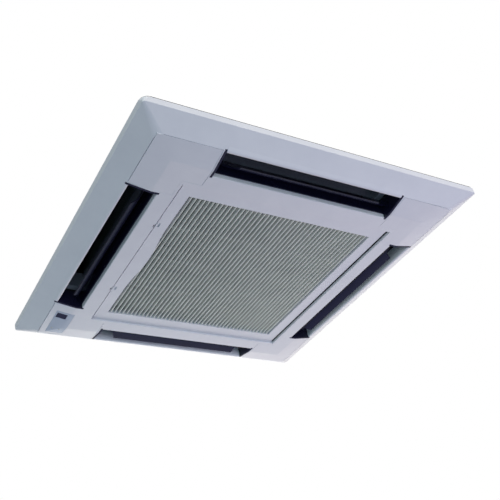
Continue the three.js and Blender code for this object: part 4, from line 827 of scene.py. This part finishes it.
def dressGrille(values):
    g = values
    innerX, innerY = g["fieldX"] + g["collarGap"], g["fieldY"] + g["collarGap"]
    collarX, collarY = g["fieldX"] + g["collar"], g["fieldY"] + g["collar"]
    inner = rectangle(-innerX, innerX, -innerY, innerY)
    collar = rectangle(-collarX, collarX, -collarY, collarY)
    plateTop, wallFoot = g["face"] + g["plate"], g["face"] + g["wallStep"]
    parts = [
        plateMesh([borderOutline(g), fieldOutline(g)], g["face"], plateTop, g["edge"]),
        plateMesh(wallOutlines(g, True), plateTop - g["wallSink"], wallFoot, 0),
        plateMesh(wallOutlines(g, False), wallFoot, g["wallTop"], g["wallEdge"]),
        plateMesh([collar, inner], g["face"] + g["collarStep"], g["collarTop"], g["collarEdge"]),
    ]
    tree = barTree()

    def addBars(count, pitch, width, low, high, half, nose):
        return grow(tree, {
            "Count": count, "Pitch": mm(pitch), "Width": mm(width), "Depth": mm(high - low),
            "Length": mm(2 * half + g["barSink"]), "Nose Radius": mm(nose),
            "Middle Height": mm((low + high) / 2), "Finish": barShadeFinish})

    slats = addBars(g["barCount"], g["barPitch"], g["barWidth"], g["barLow"], g["barHigh"], g["fieldY"],
                    g["nose"])
    ribs = addBars(g["ribCount"], g["ribPitch"], g["ribWidth"], g["ribLow"], g["ribHigh"], g["fieldX"],
                   g["ribNose"])
    ribs.transform(Matrix.Rotation(math.pi / 2, 4, "Z"))
    for side in (-1, 1):
        for start in (side * g["lugY"] - g["lugGap"] - g["lugWidth"], side * g["lugY"] + g["lugGap"]):
            parts.append(lugMesh(g, start))
    piece = weighNormals(newPiece("grilleMoulding", joinMeshes("grilleMoulding", parts)))
    finishPiece(piece, "grille", finishes["white_abs"], ["intake_grille"])
    # the bars take the greyer, greener white, which is painted shade
    bars = weighNormals(newPiece("grilleBars", joinMeshes("grilleBars", [slats, ribs])))
    finishPiece(bars, "grille", barShadeFinish)


dressGrille(grille)
print("grille dressed")


# radius of the rounded edges in millimetres, and the shortest edge that gets it; the nodes that aren't
# named keep their edges
roundedEdge = {"steps": 2, "least": 35, "none": (0, 10)}
rounding = {
    "grille_latch": (0.5, 4), "outlet_liner": (0.4, 6), "louvre_vane": (0.4, 30), "louvre_motor": (0.4, 4),
    "receiver_housing": (0.4, 5), "receiver_window": (0.4, 5), "panel_bolt": (0.4, 4),
    "top_plate": (0.5, 20), "suspension_bracket": (0.8, 10), "drain_pan": (2.0, 40),
    "air_seal": (0.8, 20), "fan_motor": (0.8, 12), "drain_pump": (0.6, 10), "control_box": (0.5, 20),
    "control_box_cover": (0.4, 20),
    "filter_frame": (0.4, 10), "gas_flare_nut": (0.6, 5), "liquid_flare_nut": (0.6, 5), "hub_nut": (0.5, 4),
}
# nodes that don't have the usual finish of their slot; the drain pan's grey is painted shade
ownFinish = {"filter_net": wovenNet, "drain_pan": panShadeFoam}


def dressRest():
    done = {name for name in nodes if nodes[name].hide_render}
    for node in sorted(nodes):
        if node in done:
            continue
        slot = slotFor(node)
        material = ownFinish.get(node, finishes[slot])
        key = next((k for k in sorted(rounding, key=len, reverse=True) if node.startswith(k)), None)
        radius, shortest = rounding.get(key, roundedEdge["none"])
        words = node.split("_")
        name = words[0] + "".join(w.capitalize() for w in words[1:]) + "Finished"
        edges = (radius, roundedEdge["steps"], roundedEdge["least"], shortest, None)
        finishPiece(roundedCopy(name, node, [edges]), bodyOf[node], material, [node])


dressRest()
print("other nodes dressed")


# screws and pressed beads of the casing, in millimetres
casingTrim = {
    "screwCount": 7, "screwPitch": 102, "headRadius": 4.5, "washerRadius": 7.5,
    "plateTop": 247.4, "plateOut": 408, "side": 420.3, "sideLow": 18,
    "cornerCount": 2, "cornerOut": 528, "cornerPitch": 60,
    "beadCount": 5, "beadPitch": 118, "beadLength": 140, "beadWidth": 18, "beadHeight": 3.2,
    "beadMiddle": 128,
    "rayCount": 8, "rayStart": 150, "rayLength": 180,
}


def dressCasing(values):
    t = values
    upright = Matrix.Rotation(math.pi / 2, 4, "X")
    screws, beads = screwTree(), beadTree()
    screwSet, beadSet = [], []

    def addScrews(count, pitch, place):
        mesh = grow(screws, {"Count": count, "Pitch": mm(pitch), "Head Radius": mm(t["headRadius"]),
                             "Washer Radius": mm(t["washerRadius"]), "Finish": finishes["steel"]})
        mesh.transform(place)
        screwSet.append(mesh)

    def addBeads(count, length, place):
        mesh = grow(beads, {"Count": count, "Pitch": mm(t["beadPitch"]), "Length": mm(length),
                            "Width": mm(t["beadWidth"]), "Height": mm(t["beadHeight"]),
                            "Finish": finishes["zinc_sheet"]})
        mesh.transform(place)
        beadSet.append(mesh)

    def at(turn, out, height):
        return Matrix.Rotation(turn, 4, "Z") @ Matrix.Translation((0, mm(-out), mm(height)))

    for side in range(4):
        turn = side * math.pi / 2
        addScrews(t["screwCount"], t["screwPitch"], at(turn, t["plateOut"], t["plateTop"]))
        addScrews(t["cornerCount"], t["cornerPitch"], at(turn + math.pi / 4, t["cornerOut"], t["plateTop"]))
        addScrews(t["screwCount"], t["screwPitch"], at(turn, t["side"], t["sideLow"]) @ upright)
        addBeads(t["beadCount"], t["beadLength"], at(turn, t["side"], t["beadMiddle"]) @ upright)
    for ray in range(t["rayCount"]):
        addBeads(1, t["rayLength"], at(2 * math.pi * ray / t["rayCount"],
                                       t["rayStart"] + t["rayLength"] / 2, t["plateTop"]))
    for name, meshes, slot in (("casingScrews", screwSet, "steel"),
                               ("pressedBeads", beadSet, "zinc_sheet")):
        finishPiece(newPiece(name, joinMeshes(name, meshes)), "unit", finishes[slot])


dressCasing(casingTrim)
print("casing trimmed")


# soft boxes far away: direction they stand in, colour times strength
softBoxes = [
    ((0.079, -0.202, 0.976), (0.50, 0.50, 0.50)),
    ((0.506, 0.575, 0.643), (1.934, 1.970, 1.865)),
    ((0.250, -0.870, 0.425), (1.80, 1.60, 1.48)),
    ((-0.923, 0.228, 0.310), (0.40, 0.40, 0.40)),
    ((-0.439, -0.688, -0.578), (0.0, 0.200, 0.307)),
    ((-0.101, -0.858, -0.504), (0.100, 0.160, 0.180)),
    ((0.100, 0.0, -0.995), (0.45, 0.45, 0.45)),
    ((-0.704, -0.704, 0.101), (1.016, 1.085, 1.052)),
]

# square lamps near the panel: place, and the red, green and blue light that reaches it
nearLamps = [
    ((1.10, 1.25, -0.45), (0.108, 0.008, 0.0)),
    ((0.83, -0.80, -1.35), (0.431, 0.317, 0.458)),
    ((0.20, 1.75, -0.40), (2.180, 2.164, 2.024)),
    ((1.70, 0.20, -0.40), (0.731, 0.744, 0.653)),
]
# tightness is how narrow a soft box is, floorGlow what glossy faces mirror of the floor, and lampPower the
# watts of a lamp for each unit of light; lengths are in metres
room = {
    "tightness": 4.0, "floorGlow": (0.160, 0.175, 0.370),
    "lampSize": 0.9, "lampPower": 12.57, "lampAim": (0, 0, -0.05),
    "floor": -2.4, "floorSize": 9, "floorColour": "#e8e9eb", "floorRoughness": 0.8,
    "ceiling": 0.0006, "ceilingSize": 9, "hole": 0.43,
}


def setWorld():
    world = bpy.data.worlds.new("studio")
    scene.world = world
    tree = emptyTree(world)
    ray = addNode(tree, "ShaderNodeTexCoord").outputs["Generated"]
    total = None
    for direction, colour in softBoxes:
        facing = addNode(tree, "ShaderNodeVectorMath", {"operation": "DOT_PRODUCT", 1: direction}, {0: ray})
        lit = addNode(tree, "ShaderNodeMath", {"operation": "MAXIMUM", 1: 0.0},
                      {0: facing.outputs["Value"]})
        soft = addNode(tree, "ShaderNodeMath", {"operation": "POWER", 1: room["tightness"]},
                       {0: lit.outputs[0]})
        tinted = addNode(tree, "ShaderNodeVectorMath", {"operation": "SCALE", 0: colour},
                         {"Scale": soft.outputs[0]})
        if total is None:
            total = tinted.outputs[0]
        else:
            total = addNode(tree, "ShaderNodeVectorMath", {"operation": "ADD"},
                            {0: total, 1: tinted.outputs[0]}).outputs[0]
    # glossy faces also mirror the pale floor
    height = addNode(tree, "ShaderNodeSeparateXYZ", links={0: ray}).outputs["Z"]
    below = addNode(tree, "ShaderNodeMapRange", {"From Min": 0.0, "From Max": -0.5}, {"Value": height})
    glossy = addNode(tree, "ShaderNodeLightPath").outputs["Is Glossy Ray"]
    share = addNode(tree, "ShaderNodeMath", {"operation": "MULTIPLY"}, {0: below.outputs[0], 1: glossy})
    mirrored = addNode(tree, "ShaderNodeVectorMath", {"operation": "SCALE", 0: room["floorGlow"]},
                       {"Scale": share.outputs[0]})
    total = addNode(tree, "ShaderNodeVectorMath", {"operation": "ADD"},
                    {0: total, 1: mirrored.outputs[0]}).outputs[0]
    light = addNode(tree, "ShaderNodeBackground", {"Strength": 1.0}, {"Color": total})
    seen = addNode(tree, "ShaderNodeBackground", {"Color": (1, 1, 1, 1), "Strength": 1.0})
    eye = addNode(tree, "ShaderNodeLightPath").outputs["Is Camera Ray"]
    both = addNode(tree, "ShaderNodeMixShader", links={0: eye, 1: light.outputs[0], 2: seen.outputs[0]})
    addNode(tree, "ShaderNodeOutputWorld", links={"Surface": both.outputs[0]})


def setLamps():
    for i, (place, colour) in enumerate(nearLamps):
        strongest = max(colour)
        lamp = bpy.data.lights.new(f"studioLamp{i + 1}", "AREA")
        lamp.shape, lamp.size = "SQUARE", room["lampSize"]
        lamp.color = [c / strongest for c in colour]
        lamp.energy = strongest * room["lampPower"]
        holder = bpy.data.objects.new(lamp.name, lamp)
        holder.location = place
        holder.rotation_euler = (Vector(place) - Vector(room["lampAim"])).to_track_quat("Z", "Y").to_euler()
        holder.visible_glossy = False
        holder.visible_camera = False
        scene.collection.objects.link(holder)


# A square plane that the camera sees and the light doesn't
def stagePlane(name, size, height, hole, material):
    shape = bmesh.new()
    corners = ((-1, -1), (1, -1), (1, 1), (-1, 1))
    outer = [shape.verts.new((x * size, y * size, height)) for x, y in corners]
    if hole:
        inner = [shape.verts.new((x * hole, y * hole, height)) for x, y in corners]
        for i in range(4):
            j = (i + 1) % 4
            shape.faces.new((outer[i], inner[i], inner[j], outer[j]))
    else:
        shape.faces.new(outer)
    plane = newPiece(name, meshFrom(shape, name))
    plane.data.materials.append(material)
    for kind in ("diffuse", "glossy", "transmission", "volume_scatter", "shadow"):
        setattr(plane, "visible_" + kind, False)


def setRoom():
    # painted ceiling round the panel: plain white from below, and open from above so that the body shows
    ceiling = bpy.data.materials.new("paintedCeiling")
    tree = emptyTree(ceiling)
    white = addNode(tree, "ShaderNodeEmission", {"Color": (1, 1, 1, 1), "Strength": 1.0})
    clear = addNode(tree, "ShaderNodeBsdfTransparent")
    back = addNode(tree, "ShaderNodeNewGeometry").outputs["Backfacing"]
    both = addNode(tree, "ShaderNodeMixShader", links={0: back, 1: white.outputs[0], 2: clear.outputs[0]})
    addNode(tree, "ShaderNodeOutputMaterial", links={"Surface": both.outputs[0]})
    stagePlane("ceilingPlane", room["ceilingSize"], room["ceiling"], room["hole"], ceiling)

    floor = bpy.data.materials.new("paleFloor")
    floor.use_nodes = True
    shader = floor.node_tree.nodes["Principled BSDF"]
    shader.inputs["Base Color"].default_value = linear(room["floorColour"])
    shader.inputs["Roughness"].default_value = room["floorRoughness"]
    stagePlane("paleFloor", room["floorSize"], room["floor"], 0, floor)


setWorld()
setLamps()
setRoom()
scene.view_settings.view_transform = "Standard"
scene.view_settings.look = "None"
print("room set")
